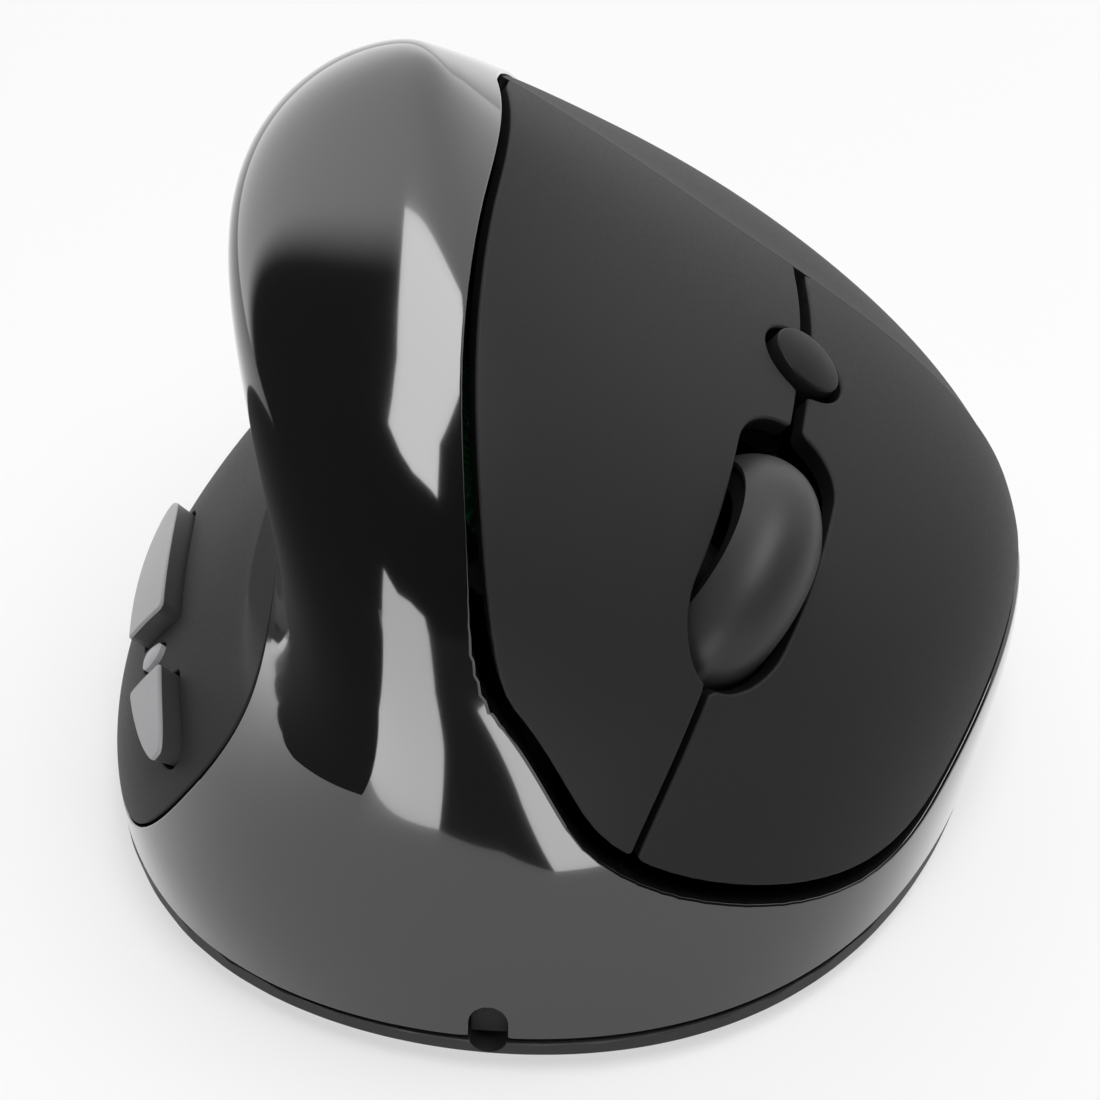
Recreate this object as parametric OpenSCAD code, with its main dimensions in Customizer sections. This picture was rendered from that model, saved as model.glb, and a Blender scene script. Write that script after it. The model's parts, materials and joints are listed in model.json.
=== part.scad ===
// Left-hand vertical mouse: +Y points to the palm, +X to the finger side, Z = 0 is the desk.

/* [Body] */
// Width of the body from thumb side to finger side
body_w = 82.4; // [68:0.1:99]
// Length of the body from front to back
body_l = 110.6; // [92:0.1:133]
// Height of the top of the cap above the desk
body_h = 70.5; // [58:0.1:85]
// Wall of the glossy body
wall = 3; // [2.5:0.1:3.6]
// Wall of the keys, the palm cover and the thumb panel
panel_wall = 1.8; // [1.5:0.1:2.2]
// Width of the open groove round the keys
groove = 1; // [0.6:0.1:1.4]
// Gap round a fixed inset panel
panel_gap = 0.25; // [0.15:0.05:0.4]

/* [Base] */
// Thickness of the bottom cover
base_t = 2.4; // [2.2:0.1:3]
// Gap under the bottom cover
base_lift = 0.7; // [0.5:0.1:1]
// Height of the dark seam between the body and the bottom cover
seam = 0.4; // [0.2:0.1:0.6]
// Width of a glide foot
foot_w = 7; // [5:0.5:9]
// Length of a glide foot
foot_l = 22; // [18:1:26]
// Width of the cable outlet
outlet_w = 3.4; // [2.8:0.1:4]

/* [Keys] */
// Slope of the finger side
finger_tilt = 40; // [36:1:44]
// Width of the slit between the keys
slit = 0.8; // [0.5:0.1:1.2]
// Width of the slit behind the wheel
slit_back = 1.3; // [0.8:0.1:1.6]
// Turn of a key at the end of its travel, in degrees
key_turn = 1.2; // [0.8:0.1:1.4]

/* [Wheel] */
// Diameter of the wheel over its tyre
wheel_d = 25; // [20.5:0.5:26]
// Width of the tyre
tyre_w = 8.6; // [7:0.1:10]
// Thickness of the tyre
tyre_t = 3; // [2.7:0.1:4]
// Turn of the wheel away from the front, in degrees
wheel_yaw = 2; // [0:1:4]
// Diameter of the axle
axle_d = 3; // [2.4:0.1:3.6]
// Number of slots in the hub
hub_slots = 24; // [16:1:28]

/* [Buttons] */
// Diameter of the round button
dpi_d = 7.1; // [5.5:0.1:7.5]
// Height of the round button above the keys
dpi_proud = 1; // [0.5:0.1:1.5]
// Width of the thumb buttons
thumb_w = 4.8; // [4:0.1:6]
// Height of the thumb buttons above the thumb panel
thumb_proud = 2; // [1:0.1:2.5]
// Travel of the round button and the thumb buttons
button_travel = 0.6; // [0.4:0.1:0.7]

/* [Electrics] */
// Diameter of the battery
battery_d = 14.5; // [12:0.1:17.4]
// Length of the battery with its nub
battery_l = 50.5; // [44:0.1:54]
// Thickness of a circuit board
board_t = 1.6; // [1.2:0.1:2]
// Height of a snap switch
snap_h = 6.5; // [5.5:0.1:7]
// Width of a tact switch
tact_w = 6; // [4.5:0.1:6.5]
// Diameter of a screw
screw_d = 2.2; // [2:0.1:2.6]

/* [Hidden] */
$fn = 48;
eps = 0.01;
far = 200;

// Guide lines of the body, from the desk to the cap, drawn at guide_size and stretched to the body
guide_size = [82.4, 110.6, 70.5];
level = [2, 8, 16, 25, 35, 45, 55, 63, 68.5, 70.5];
front_line = [[3.5, -60], [1, -59], [-2.5, -57], [-5.5, -55.5], [-7.5, -55],
    [-8.5, -53], [-9, -46], [-11, -32], [-12.5, -15], [-14, -4]];
finger_line = [[42.5, 6], [44.5, 4], [47, 2.5], [45.5, 0], [36, -2.5],
    [21, -5], [8, -6.5], [-2, -7.5], [-9, -6], [-14, -4]];
back_line = [[-1.5, 62.5], [-1.5, 62.5], [-1.5, 60.5], [-2.5, 56], [-4.5, 48],
    [-7.5, 36.5], [-9.5, 23], [-11.5, 11], [-14.5, 2.5], [-14, -4]];
thumb_line = [[-45, -1], [-44.5, -6], [-40, -10.5], [-28.5, -14.5], [-24, -18],
    [-25.5, -20.5], [-28.5, -19.5], [-30.5, -14], [-25, -8.5], [-14, -4]];
// Fullness of the four corners: front finger, back finger, back thumb, front thumb
fullness = [0.74, 0.6, 0.68, 0.8];
rows = 30;
columns = 48;

fit = [body_w / guide_size.x, body_l / guide_size.y, body_h / guide_size.z];
function place(p) = [p.x * fit.x, p.y * fit.y];
function corner(a, b, k) = [a.x + k * (b.x - a.x), b.y + k * (a.y - b.y)];
function guide_ring(s) = let (f = front_line[s], g = finger_line[s], b = back_line[s], t = thumb_line[s])
    [f, corner(f, g, fullness[0]), g, corner(b, g, fullness[1]),
     b, corner(b, t, fullness[2]), t, corner(f, t, fullness[3])];
cage = [for (s = [0 : len(level) - 1])
    [for (p = guide_ring(s)) [p.x * fit.x, p.y * fit.y, level[s] * fit.z]]];
spans = len(level) - 1;
cage_ends = concat([2 * cage[0] - cage[1]], cage, [2 * cage[spans] - cage[spans - 1]]);
function blend(t) = [pow(1 - t, 3), 3 * pow(t, 3) - 6 * pow(t, 2) + 4,
    -3 * pow(t, 3) + 3 * pow(t, 2) + 3 * t + 1, pow(t, 3)] / 6;
function row_at(u) = let (i = min(floor(u), spans - 1), w = blend(u - i))
    w[0] * cage_ends[i] + w[1] * cage_ends[i + 1] + w[2] * cage_ends[i + 2] + w[3] * cage_ends[i + 3];
function on_row(row, v) = let (i = floor(v), w = blend(v - i))
    w[0] * row[(i + 7) % 8] + w[1] * row[i % 8] + w[2] * row[(i + 1) % 8] + w[3] * row[(i + 2) % 8];
grid = [for (i = [0 : rows]) let (row = row_at(i * spans / rows))
    [for (j = [0 : columns - 1]) on_row(row, j * 8 / columns)]];
function unit(v) = v / norm(v);
function outward(i, j) = i == rows ? [0, 0, 1] :
    unit(cross(grid[i][(j + 1) % columns] - grid[i][(j + columns - 1) % columns],
               grid[min(i + 1, rows)][j] - grid[max(i - 1, 0)][j]));
function skin_point(i, j, d) = grid[i][j] + d * outward(i, j);
// Outline of the body at the desk, moved out by d
function rim_along(v) = on_row(row_at(0), v + 0.02) - on_row(row_at(0), v + 7.98);
function rim(v, d) = let (p = on_row(row_at(0), v), q = rim_along(v)) [p.x, p.y] + d * unit([q.y, -q.x]);
function rim_turn(v) = atan2(rim_along(v).y, rim_along(v).x);
function rim_outline(d) = [for (j = [0 : columns - 1]) rim(j * 8 / columns, d)];

// Heights of the base
base_top = base_lift + base_t;
shell_z = base_top + seam;
foot_sink = 0.2;
lip_h = 2.4;
lip_t = 1.4;
lip_gap = 1.2;

// Finger frame: x runs down the slope, z points out of the keys, the deck is the flat of the keys
deck_guide = 46;
slope_fit = norm([cos(finger_tilt) * fit.x, sin(finger_tilt) * fit.z]);
slope = atan2(sin(finger_tilt) * fit.z, cos(finger_tilt) * fit.x);
slope_shift = deck_guide * sin(finger_tilt) * cos(finger_tilt) * (pow(fit.x, 2) - pow(fit.z, 2)) / slope_fit;
deck = deck_guide * fit.x * fit.z / slope_fit;
function down(x) = x * slope_fit + slope_shift;
panel_top = -45.2;
panel_low = 18;
panel_front = -50.4;
panel_back = 46;
panel_mid = [-15, 2];
palm_full = 1.4;
top_corner = [22, 35];
low_corner = [30, 22];
crease_y = 9.6 * fit.y;
crease_mid = -23;
crease_drop_top = 6;
crease_drop_low = 4.6;
split_x = -11.2;
split_bow = 8.6;
split_flat = -34 * fit.y;
hinge_y = 7 * fit.y;
function key_stroke(at) = (hinge_y - at.y) * sin(key_turn);
key_joint = 0.3;
key_depth = 28;
palm_depth = 6;
ledge = 3;
cap_x = -13 * fit.x;
tongue = 5;
tongue_t = 1.2;
tongue_gap = 0.4;
tongue_in = 8;
tongue_side = 3;

// Layers under the keys
board_z = deck - 14;
frame_t = 3;
plate_z = board_z - board_t - frame_t;
plunger_out = 0.7;
plunger_sink = 1.7;
plunger_gap = 0.2;
play = 0.2;
post_d = 4;
upper_at = [down(-28), -26 * fit.y];
lower_at = [down(3.4), -21 * fit.y];
snap_size = [12.8, 5.8, snap_h];
snap_button = [1.4, 2.8];
tact_h = 3.6;
tact_button_d = 3.4;

// Round button and wheel
dpi_at = [down(-11.4), -8.3 * fit.y];
tact_dpi = 4.5;
dpi_guide_d = sqrt(2) * tact_dpi + 1.8;
dpi_stem_d = 3;
dpi_well = 0.75;
wheel_r = wheel_d / 2;
wheel_z = deck - 11.1;
rocker_y = wheel_r + 1.7;
wheel_at = [down(-11), dpi_at.y - rocker_y - 6.8];
hub_r = wheel_r - tyre_t;
tyre_drop = 2.6;
tyre_round = 2.2;
slot_gap = 1.1;
slot_shift = -1.35;
slot_end = 0.3;
arm_in = tyre_w / 2 + 1.5;
arm_t = 1.8;
arm_h = 4.4;
pin_d = 2.4;
bore_gap = 0.3;
ear_gap = 0.4;
ear_t = 2.8;
ear_w = 4.4;
bar_t = 2;
tab_t = 1.6;
window_half = tyre_w / 2 + 0.8;
middle_x = arm_in + arm_t + 0.6 + tact_w / 2;
gate_y = -5.6;
gate_size = [2.4, 3, 4.4];

// Base fittings
battery_at = [-6 * fit.x, -13 * fit.y];
battery_gap = 0.2;
contact_t = 0.5;
contact_gap = 0.7;
tray_wall = 2;
bay_l = battery_l + 2 * (contact_t + contact_gap);
bay_r = battery_d / 2 + battery_gap;
battery_z = base_top + 0.3 + battery_d / 2;
door_side = 1.8;
door_t = 1.4;
door_tongue = 1;
receiver_at = place([-15, -24]);
plug_size = [12, 4.5, 12];
head_size = [14, 6, 5];
well_gap = 0.3;
well_wall = 1;
well_size = [head_size.x + 2 * (well_gap + well_wall), head_size.y + 2 * (well_gap + well_wall),
    head_size.z + plug_size.z + 2 * well_gap + well_wall - base_t];
board_x = [battery_at.x + bay_r + tray_wall + 2, 19 * fit.x];
main_board_y = [-33 * fit.y, 10 * fit.y];
main_board_z = base_top + 5.7;
sensor_at = [(board_x[0] + board_x[1]) / 2, -18 * fit.y];
power_at = [(board_x[0] + board_x[1]) / 2, -2.5 * fit.y];
power_knob = [4, 3.6];
power_travel = 1.5;
standoff_d = 4.4;
standoff_in = 2.6;
screw_head_d = 2 * screw_d;
screw_head_h = 1.4;
screw_gap = 0.3;
screw_reach = 6;
boss_d = 6;
boss_h = 6;
boss_v = [0.6, 2.55, 4.95, 7.1];
foot_v = [0, 1.7, 3.15, 5.45, 6.35];
foot_in = 7;
leg_d = 7;
leg_at = [[down(-26), -34 * fit.y], [down(-26), -20 * fit.y], [down(7), -27 * fit.y], [down(7), -1 * fit.y]];
outlet_v = 7.87;
outlet_h = 3.5;

// Thumb frame: z points out of the hip, x up towards the scoop
hip_at = [-36 * fit.x, -20 * fit.y, 15.5 * fit.z];
hip_tilt = -53;
strip_mid = 4.5;
strip_half = 20.5;
strip_full = 2.6;
strip_lean = 0.14;
strip_low = 0.9;
lens_at = [0, -0.3];
lens_d = 3;
lens_room = [5.5, 3.1];
thumb_gap = 0.35;
thumb_flange = 1.1;
thumb_flange_t = 1;
thumb_post_d = 2.6;
thumb_at = [[0.9, -8], [0, 13]];
thumb_board_z = -10.6;
rib_t = 3;

gloss_black = "#141416";
soft_black = "#2b2b2d";
soft_grey = "#3c3c3f";
button_grey = "#9a9a9e";

// A shape that is handled as one smooth skin
module skin() { resize([0, 0, 0]) children(); }

// The solid body moved out by d, with straight sides below the lowest guide line
module body_form(d) {
    ring = [for (j = [0 : columns - 1]) let (p = skin_point(0, j, d)) [p.x, p.y, -4]];
    sides = [for (i = [0 : rows - 1]) for (j = [0 : columns - 1]) skin_point(i, j, d)];
    points = concat(ring, sides, [skin_point(rows, 0, d)]);
    top = len(points) - 1;
    quads = [for (i = [0 : rows - 1]) for (j = [0 : columns - 1])
        let (a = i * columns + j, b = i * columns + (j + 1) % columns)
        each [[a, b + columns, b], [a, a + columns, b + columns]]];
    cap = [for (j = [0 : columns - 1])
        [rows * columns + j, top, rows * columns + (j + 1) % columns]];
    polyhedron(points, concat([[for (j = [0 : columns - 1]) j]], quads, cap));
}

// The layer of the body between two depths
module layer(outer, inner) {
    difference() {
        body_form(outer);
        body_form(inner);
    }
}

module above(z) translate([-far / 2, -far / 2, z]) cube(far);

function arc(c, r, from, to) = [for (i = [0 : 10]) let (a = from + (to - from) * i / 10)
    [c.x + r.x * cos(a), c.y + r.y * sin(a)]];

// Upper back quarter of the finger side, drawn in from a plain arc
function lobe(c, r, n) = [for (i = [1 : 13]) let (a = 90 * i / 14)
    [c.x - r.x * pow(sin(a), 2 / n), c.y + r.y * pow(cos(a), 2 / n)]];

module in_finger() rotate([0, slope, 0]) children();
module in_wheel() {
    in_finger() translate([wheel_at.x, wheel_at.y, wheel_z]) rotate([0, 0, wheel_yaw]) children();
}
module in_hip() translate(hip_at) rotate([0, hip_tilt, 0]) children();

// Outline of the finger side in the finger frame, moved out by d
module finger_outline(d) {
    mid = [down(panel_mid.x), panel_mid.y * fit.y];
    top = [top_corner.x * slope_fit, top_corner.y * fit.y];
    low = [low_corner.x * slope_fit, low_corner.y * fit.y];
    front = panel_front * fit.y;
    back = panel_back * fit.y - mid.y + d;
    polygon(concat(
        arc([down(panel_top) + top.x, front + top.y], [top.x + d, top.y + d], 180, 270),
        arc([down(panel_low) - low.x, front + low.y], [low.x + d, low.y + d], 270, 360),
        arc(mid, [down(panel_low) + 1 - mid.x + d, back], 0, 90),
        lobe(mid, [mid.x - down(panel_top) + d, back], palm_full)));
}

// The part of the finger side in front of the crease, moved back by d
module before_crease(d) {
    x0 = down(panel_top) - 5;
    x1 = down(panel_low) + 5;
    mid = down(crease_mid);
    crease = [for (i = [0 : 16]) let (x = x0 + (x1 - x0) * i / 16,
        drop = x < mid ? crease_drop_top * pow((x - mid) / (x0 - mid), 2)
                       : crease_drop_low * pow((x - mid) / (x1 - mid), 2))
        [x, crease_y - drop + d]];
    polygon(concat([[x1, -far], [x0, -far]], crease));
}

// The finger side above the split, moved down the slope by d
module above_split(d) {
    front = panel_front * fit.y - 2;
    edge = [for (i = [0 : 8]) let (y = front + (split_flat - front) * i / 8)
        [down(split_x) + d + split_bow * pow((y - split_flat) / (front - split_flat), 3), y]];
    polygon(concat([[-far, far], [-far, front]], edge, [[down(split_x) + d, far]]));
}

module wheel_slot() {
    half = wheel_r + slot_end;
    w = tyre_w / 2 + slot_gap;
    translate(wheel_at) rotate(wheel_yaw) translate([0, slot_shift]) hull() {
        translate([0, half - w]) circle(w);
        translate([0, w - half]) circle(w);
    }
}

module key_plan(upper) {
    difference() {
        intersection() {
            finger_outline(0);
            before_crease(-key_joint / 2);
            difference() {
                square(2 * far, center = true);
                if (upper) difference() {
                    square(2 * far, center = true);
                    above_split(-slit / 2);
                }
                else above_split(slit / 2);
            }
        }
        wheel_slot();
        translate(dpi_at) circle(dpi_d / 2 + dpi_well);
        translate([down(split_x) - slit_back / 2, wheel_at.y]) square([slit_back, far]);
    }
}

// Thin tongue that clamps a key under the palm cover, from one distance behind the crease to another
module tongue_plan(upper, from, to, inset) {
    intersection() {
        finger_outline(-tongue_in - inset);
        difference() {
            before_crease(to);
            before_crease(from);
        }
        if (upper) above_split(-tongue_side - inset);
        else difference() {
            square(2 * far, center = true);
            above_split(tongue_side + inset);
        }
    }
}

// Straight block over a plan in the finger frame, down to a depth below the deck, beside the cap
module finger_block(depth = key_depth) {
    intersection() {
        in_finger() translate([0, 0, deck - depth]) linear_extrude(far) children();
        translate([cap_x, -far / 2, 0]) cube(far);
    }
}

// The same block behind the crease, no deeper than a little under the surface
module palm_block() {
    difference() {
        finger_block(key_depth + 6) children();
        in_finger() translate([0, 0, -palm_depth]) rotate([0, -slope, 0]) body_form(0);
    }
}

module key(upper, at, press_z) {
    skin() {
        difference() {
            intersection() {
                layer(0, -panel_wall);
                finger_block() key_plan(upper);
            }
            in_wheel() rotate([0, 90, 0])
                cylinder(r = wheel_r + slot_gap, h = tyre_w + slot_gap, center = true);
        }
        intersection() {
            layer(-panel_wall / 2, -panel_wall - tongue_gap - tongue_t / 2);
            finger_block() tongue_plan(upper, -tongue, -key_joint, tongue_in / 10);
        }
        intersection() {
            layer(-panel_wall - tongue_gap, -panel_wall - tongue_gap - tongue_t);
            finger_block() tongue_plan(upper, -tongue - 1, tongue, 0);
        }
        intersection() {
            body_form(-panel_wall / 2);
            in_finger() translate([at.x, at.y, press_z]) cylinder(d = post_d, h = far, $fn = 24);
        }
    }
}

snap_top = board_z + snap_h + plunger_out;
tact_top = board_z + tact_h + plunger_out;

module upper_key() { color(soft_black) key(true, upper_at, snap_top + plunger_gap); }
module lower_key() { color(soft_black) key(false, lower_at, snap_top + plunger_gap); }

module palm_cover() {
    color(soft_black) skin() intersection() {
        layer(0, -panel_wall);
        palm_block() difference() {
            finger_outline(groove - panel_gap);
            before_crease(key_joint / 2);
        }
    }
}

// Outline of the thumb panel seen from the side, moved out by d
module thumb_outline(d) {
    mid_z = 18 * fit.z;
    low = [13.7 * fit.y, mid_z - shell_z - 1.2];
    front = 39.7 * fit.y;
    back = 38.2 * fit.y;
    high = 24 * fit.z;
    polygon(concat(
        arc([low.x - front, mid_z], [low.x + d, low.y + d], 180, 270),
        arc([back - low.x, mid_z], [low.x + d, low.y + d], 270, 360),
        arc([0, mid_z], [back + d, high + d], 0, 90),
        arc([0, mid_z], [front + d, high + d], 90, 180)));
}

module thumb_prism(d) {
    translate([-far / 2 - 5 * fit.x, 0, 0]) rotate([90, 0, 90]) linear_extrude(far / 2) thumb_outline(d);
}

// Leaf-shaped strip of the two thumb buttons between two places along it, moved out by d
module strip_plan(from, to, d) {
    w = thumb_w / 2;
    n = 12;
    function middle(y) = strip_low - strip_lean * y;
    function half(y) = w * pow(max(0, 1 - pow(abs(y - strip_mid) / strip_half, strip_full)), 1 / strip_full);
    ys = [for (i = [0 : n]) from + (to - from) * (1 - cos(180 * i / n)) / 2];
    offset(delta = d) polygon(concat([for (y = ys) [middle(y) - half(y), y]],
        [for (i = [n : -1 : 0]) [middle(ys[i]) + half(ys[i]), ys[i]]]));
}

front_strip = [strip_mid - strip_half + 0.1, lens_at.y - lens_room[0]];
rear_strip = [lens_at.y + lens_room[1], strip_mid + strip_half - 0.1];

module strip_prism(ends, d) {
    in_hip() translate([0, 0, -12]) linear_extrude(30) strip_plan(ends[0], ends[1], d);
}

module thumb_panel() {
    color(soft_grey) skin() difference() {
        intersection() {
            layer(0, -panel_wall);
            thumb_prism(-panel_gap);
        }
        strip_prism(front_strip, thumb_gap);
        strip_prism(rear_strip, thumb_gap);
        in_hip() translate([lens_at.x, lens_at.y, -12]) cylinder(d = lens_d + 0.4, h = 30, $fn = 24);
    }
}

module thumb_button(ends, at) {
    skin() {
        intersection() {
            layer(thumb_proud, 1.4 * button_travel - panel_wall);
            strip_prism(ends, 0);
        }
        intersection() {
            layer(thumb_proud / 2, -panel_wall - thumb_gap - thumb_flange_t / 2);
            strip_prism(ends, -thumb_gap);
            thumb_prism(-ledge - thumb_flange);
        }
        intersection() {
            layer(-panel_wall - thumb_gap, -panel_wall - thumb_gap - thumb_flange_t);
            strip_prism(ends, thumb_flange);
            thumb_prism(-ledge - 2 * thumb_gap);
        }
        intersection() {
            body_form(-panel_wall - thumb_gap);
            in_hip() translate([at.x, at.y, thumb_board_z + tact_h + plunger_out + plunger_gap])
                cylinder(d = thumb_post_d, h = 20, $fn = 24);
        }
    }
}

module forward_button() { color(button_grey) thumb_button(front_strip, thumb_at[0]); }
module back_button() { color(button_grey) thumb_button(rear_strip, thumb_at[1]); }

module status_lens() {
    color("#c8c8cc") in_hip() translate([lens_at.x, lens_at.y, 0]) {
        translate([0, 0, thumb_board_z]) cylinder(d = lens_d - 1, h = -thumb_board_z);
        translate([0, 0, -4]) cylinder(d = lens_d, h = 4.2);
    }
}

module outlet_hole(gap, from, to) {
    p = rim(outlet_v, 0);
    translate([p.x, p.y + from, base_top + outlet_h - outlet_w / 2]) rotate([-90, 0, 0]) {
        cylinder(d = outlet_w - 2 * gap, h = to - from, $fn = 24);
        translate([-outlet_w / 2 + gap, 0, 0])
            cube([outlet_w - 2 * gap, outlet_h - outlet_w / 2 - gap, to - from]);
    }
}

module outlet_plug() {
    p = rim(outlet_v, 0);
    color("#0a0a0b") {
        outlet_hole(0.15, 1.4, wall + 1.7);
        translate([p.x - outlet_w / 2 - 1, p.y + wall + 1.3, base_top]) cube([outlet_w + 2, 2, outlet_h + 1]);
    }
}

module boss_places() for (v = boss_v) translate(rim(v, -wall - boss_d / 2 + 1.5)) children();

module main_shell() {
    color(gloss_black) skin() {
        difference() {
            intersection() {
                layer(0, -wall);
                above(shell_z);
            }
            // Recess and opening of the finger side
            difference() {
                palm_block() difference() {
                    finger_outline(groove);
                    before_crease(-1);
                }
                body_form(-panel_wall - panel_gap);
            }
            palm_block() difference() {
                finger_outline(-ledge);
                before_crease(-1);
            }
            finger_block(key_depth + 3) intersection() {
                finger_outline(groove + eps);
                before_crease(0);
            }
            // Recess and opening of the thumb panel
            difference() {
                thumb_prism(0);
                body_form(-panel_wall - panel_gap);
            }
            thumb_prism(-ledge);
            outlet_hole(0, -5, wall + 3);
            boss_places() cylinder(d = screw_d + screw_gap, h = base_top + screw_reach + 1, $fn = 24);
        }
        difference() {
            intersection() {
                boss_places() translate([0, 0, base_top + 0.05]) cylinder(d = boss_d, h = boss_h, $fn = 24);
                body_form(-panel_wall - 2 * panel_gap);
            }
            boss_places() cylinder(d = screw_d + screw_gap, h = base_top + screw_reach + 1, $fn = 24);
        }
    }
}

module stadium(l, w, h) {
    linear_extrude(h) {
        square([l - w, w], center = true);
        for (s = [-1, 1]) translate([s * (l - w) / 2, 0]) circle(d = w);
    }
}

// The feet lie along the rim
module foot_places() for (v = foot_v) translate(rim(v, -foot_in)) rotate(rim_turn(v)) children();

module glide_feet() {
    color("#55565a") foot_places() stadium(foot_l, foot_w, base_lift + foot_sink);
}

module screw(z) {
    translate([0, 0, z]) cylinder(d = screw_head_d, h = screw_head_h);
    translate([0, 0, z]) cylinder(d = screw_d, h = screw_head_h + screw_reach);
}

// Hole and head recess of a base screw
module screw_cut() {
    translate([0, 0, base_lift - 1])
        cylinder(d = screw_head_d + 2 * screw_gap, h = 1 + screw_head_h + screw_gap);
    cylinder(d = screw_d + 2 * screw_gap, h = 20);
}

function leg_foot(p) = [p.x * cos(slope) + plate_z * sin(slope), p.y];
module leg_places() for (p = leg_at) translate(leg_foot(p)) children();

module shell_screws() { color("silver") boss_places() screw(base_lift + screw_gap); }
module frame_screws() { color("silver") leg_places() screw(base_lift + screw_gap); }

module standoff_places() {
    for (x = [board_x[0] + standoff_in, board_x[1] - standoff_in], y = [main_board_y[0] + standoff_in,
        main_board_y[1] - standoff_in]) translate([x, y]) children();
}

module board_screws() {
    color("silver") standoff_places() translate([0, 0, main_board_z + board_t]) {
        cylinder(d = screw_head_d - 0.6, h = 1);
        translate([0, 0, -4.4]) cylinder(d = screw_d, h = 4.4 + eps);
    }
}

// Space for the cell and its contacts, open below
module battery_bay() {
    translate([battery_at.x, battery_at.y, battery_z]) {
        rotate([-90, 0, 0]) cylinder(r = bay_r, h = bay_l);
        translate([-bay_r, 0, -battery_z - 1]) cube([2 * bay_r, bay_l, battery_z + 1]);
    }
}

module battery_tray() {
    r = bay_r + tray_wall;
    difference() {
        translate([battery_at.x, battery_at.y - tray_wall, 0]) {
            translate([0, 0, battery_z]) rotate([-90, 0, 0]) cylinder(r = r, h = bay_l + 2 * tray_wall);
            translate([-r, 0, base_top - eps]) cube([2 * r, bay_l + 2 * tray_wall, battery_z - base_top]);
        }
        translate([-far / 2, -far / 2, base_top - 1 - far]) cube(far);
    }
}

module door_plan(gap) {
    w = bay_r + door_side - gap;
    translate([battery_at.x - w, battery_at.y - tray_wall + gap]) square([2 * w, far]);
}

module door_tongue_plan(gap) {
    w = bay_r + door_side + door_tongue - gap;
    translate([battery_at.x - w, battery_at.y - tray_wall + gap]) square([2 * w, far]);
}

// Pocket of the sliding door, with grooves for its side tongues
module door_pocket(gap) {
    translate([0, 0, base_lift - (gap > 0 ? 0 : 1)])
        linear_extrude(door_t + (gap > 0 ? 0 : 1) + 0.15 - gap) door_plan(gap);
    translate([0, 0, base_lift + door_t / 2 + gap])
        linear_extrude(door_t / 2 + 0.15 - 2 * gap) door_tongue_plan(gap);
}

module battery_door() {
    color("#2a2a2c") intersection() {
        door_pocket(0.15);
        linear_extrude(base_top) polygon(rim_outline(0));
    }
}

module receiver_well(gap) {
    translate([receiver_at.x, receiver_at.y, base_lift]) {
        translate([-head_size.x / 2 - gap, -head_size.y / 2 - gap, -1])
            cube([head_size.x + 2 * gap, head_size.y + 2 * gap, head_size.z + 1 + gap]);
        translate([-plug_size.x / 2 - gap, -plug_size.y / 2 - gap, 0])
            cube([plug_size.x + 2 * gap, plug_size.y + 2 * gap, head_size.z + plug_size.z + 2 * gap]);
    }
}

module power_slot(extra) {
    l = power_knob.y + 2 * power_travel + 2 * extra;
    translate([power_at.x - power_knob.x / 2 - extra, power_at.y - l / 2, 0])
        cube([power_knob.x + 2 * extra, l, 20]);
}

// Slanted rib that carries the thumb board
module thumb_ribs() {
    foot = hip_at.x - thumb_board_z * sin(-hip_tilt);
    for (y = [thumb_at[0].y - 6, thumb_at[1].y + 6]) intersection() {
        translate([foot - 10, hip_at.y + y - rib_t / 2, base_top - eps]) cube([20, rib_t, 20]);
        in_hip() translate([-20, y - rib_t, thumb_board_z - board_t - 5]) cube([24.5, 2 * rib_t, 5]);
    }
}

module bottom_cover() {
    p = rim(outlet_v, 0);
    color(soft_grey) difference() {
        union() {
            translate([0, 0, base_lift]) linear_extrude(base_t) polygon(rim_outline(0));
            // Lip that locates the body
            difference() {
                translate([0, 0, base_top - eps]) linear_extrude(lip_h + eps) difference() {
                    polygon(rim_outline(-wall - lip_gap));
                    polygon(rim_outline(-wall - lip_gap - lip_t));
                }
                boss_places() cylinder(d = boss_d + 1, h = 20);
                translate([p.x - outlet_w / 2 - 1.3, p.y - 1, base_top]) cube([outlet_w + 2.6, 12, 20]);
            }
            difference() {
                battery_tray();
                translate([-far / 2, -far / 2, -far + base_top - eps]) cube(far);
            }
            translate([receiver_at.x - well_size.x / 2, receiver_at.y - well_size.y / 2, base_top - eps])
                cube(well_size);
            standoff_places() translate([0, 0, base_top - eps])
                cylinder(d = standoff_d, h = main_board_z - base_top + eps);
            thumb_ribs();
        }
        battery_bay();
        door_pocket(0);
        receiver_well(well_gap);
        power_slot(0.3);
        translate([sensor_at.x - 4, sensor_at.y - 3, 0]) cube([8, 6, 20]);
        boss_places() screw_cut();
        leg_places() screw_cut();
        standoff_places() translate([0, 0, main_board_z - 5]) cylinder(d = screw_d + screw_gap, h = 20);
        foot_places() stadium(foot_l + 0.2, foot_w + 0.2, base_lift + foot_sink);
        outlet_hole(0, -5, wall + 0.5);
    }
}

module battery() {
    nub = 1.3;
    front = battery_at.y + contact_t + contact_gap;
    color("#b58a4a") translate([battery_at.x, front, battery_z]) rotate([-90, 0, 0]) {
        cylinder(d = 5.5, h = nub + eps);
        translate([0, 0, nub]) cylinder(d = battery_d, h = battery_l - nub);
    }
}

module contact(y, dimple_y) {
    w = 0.6 * battery_d;
    translate([battery_at.x - w / 2, y, battery_z - w / 2]) cube([w, contact_t, w]);
    translate([battery_at.x, y + dimple_y, battery_z]) rotate([-90, 0, 0])
        cylinder(d = 4, h = contact_gap - 0.1);
}

module front_contact() { color("silver") contact(battery_at.y, contact_t); }
module rear_contact() {
    color("silver") contact(battery_at.y + bay_l - contact_t, 0.1 - contact_gap);
}

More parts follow.
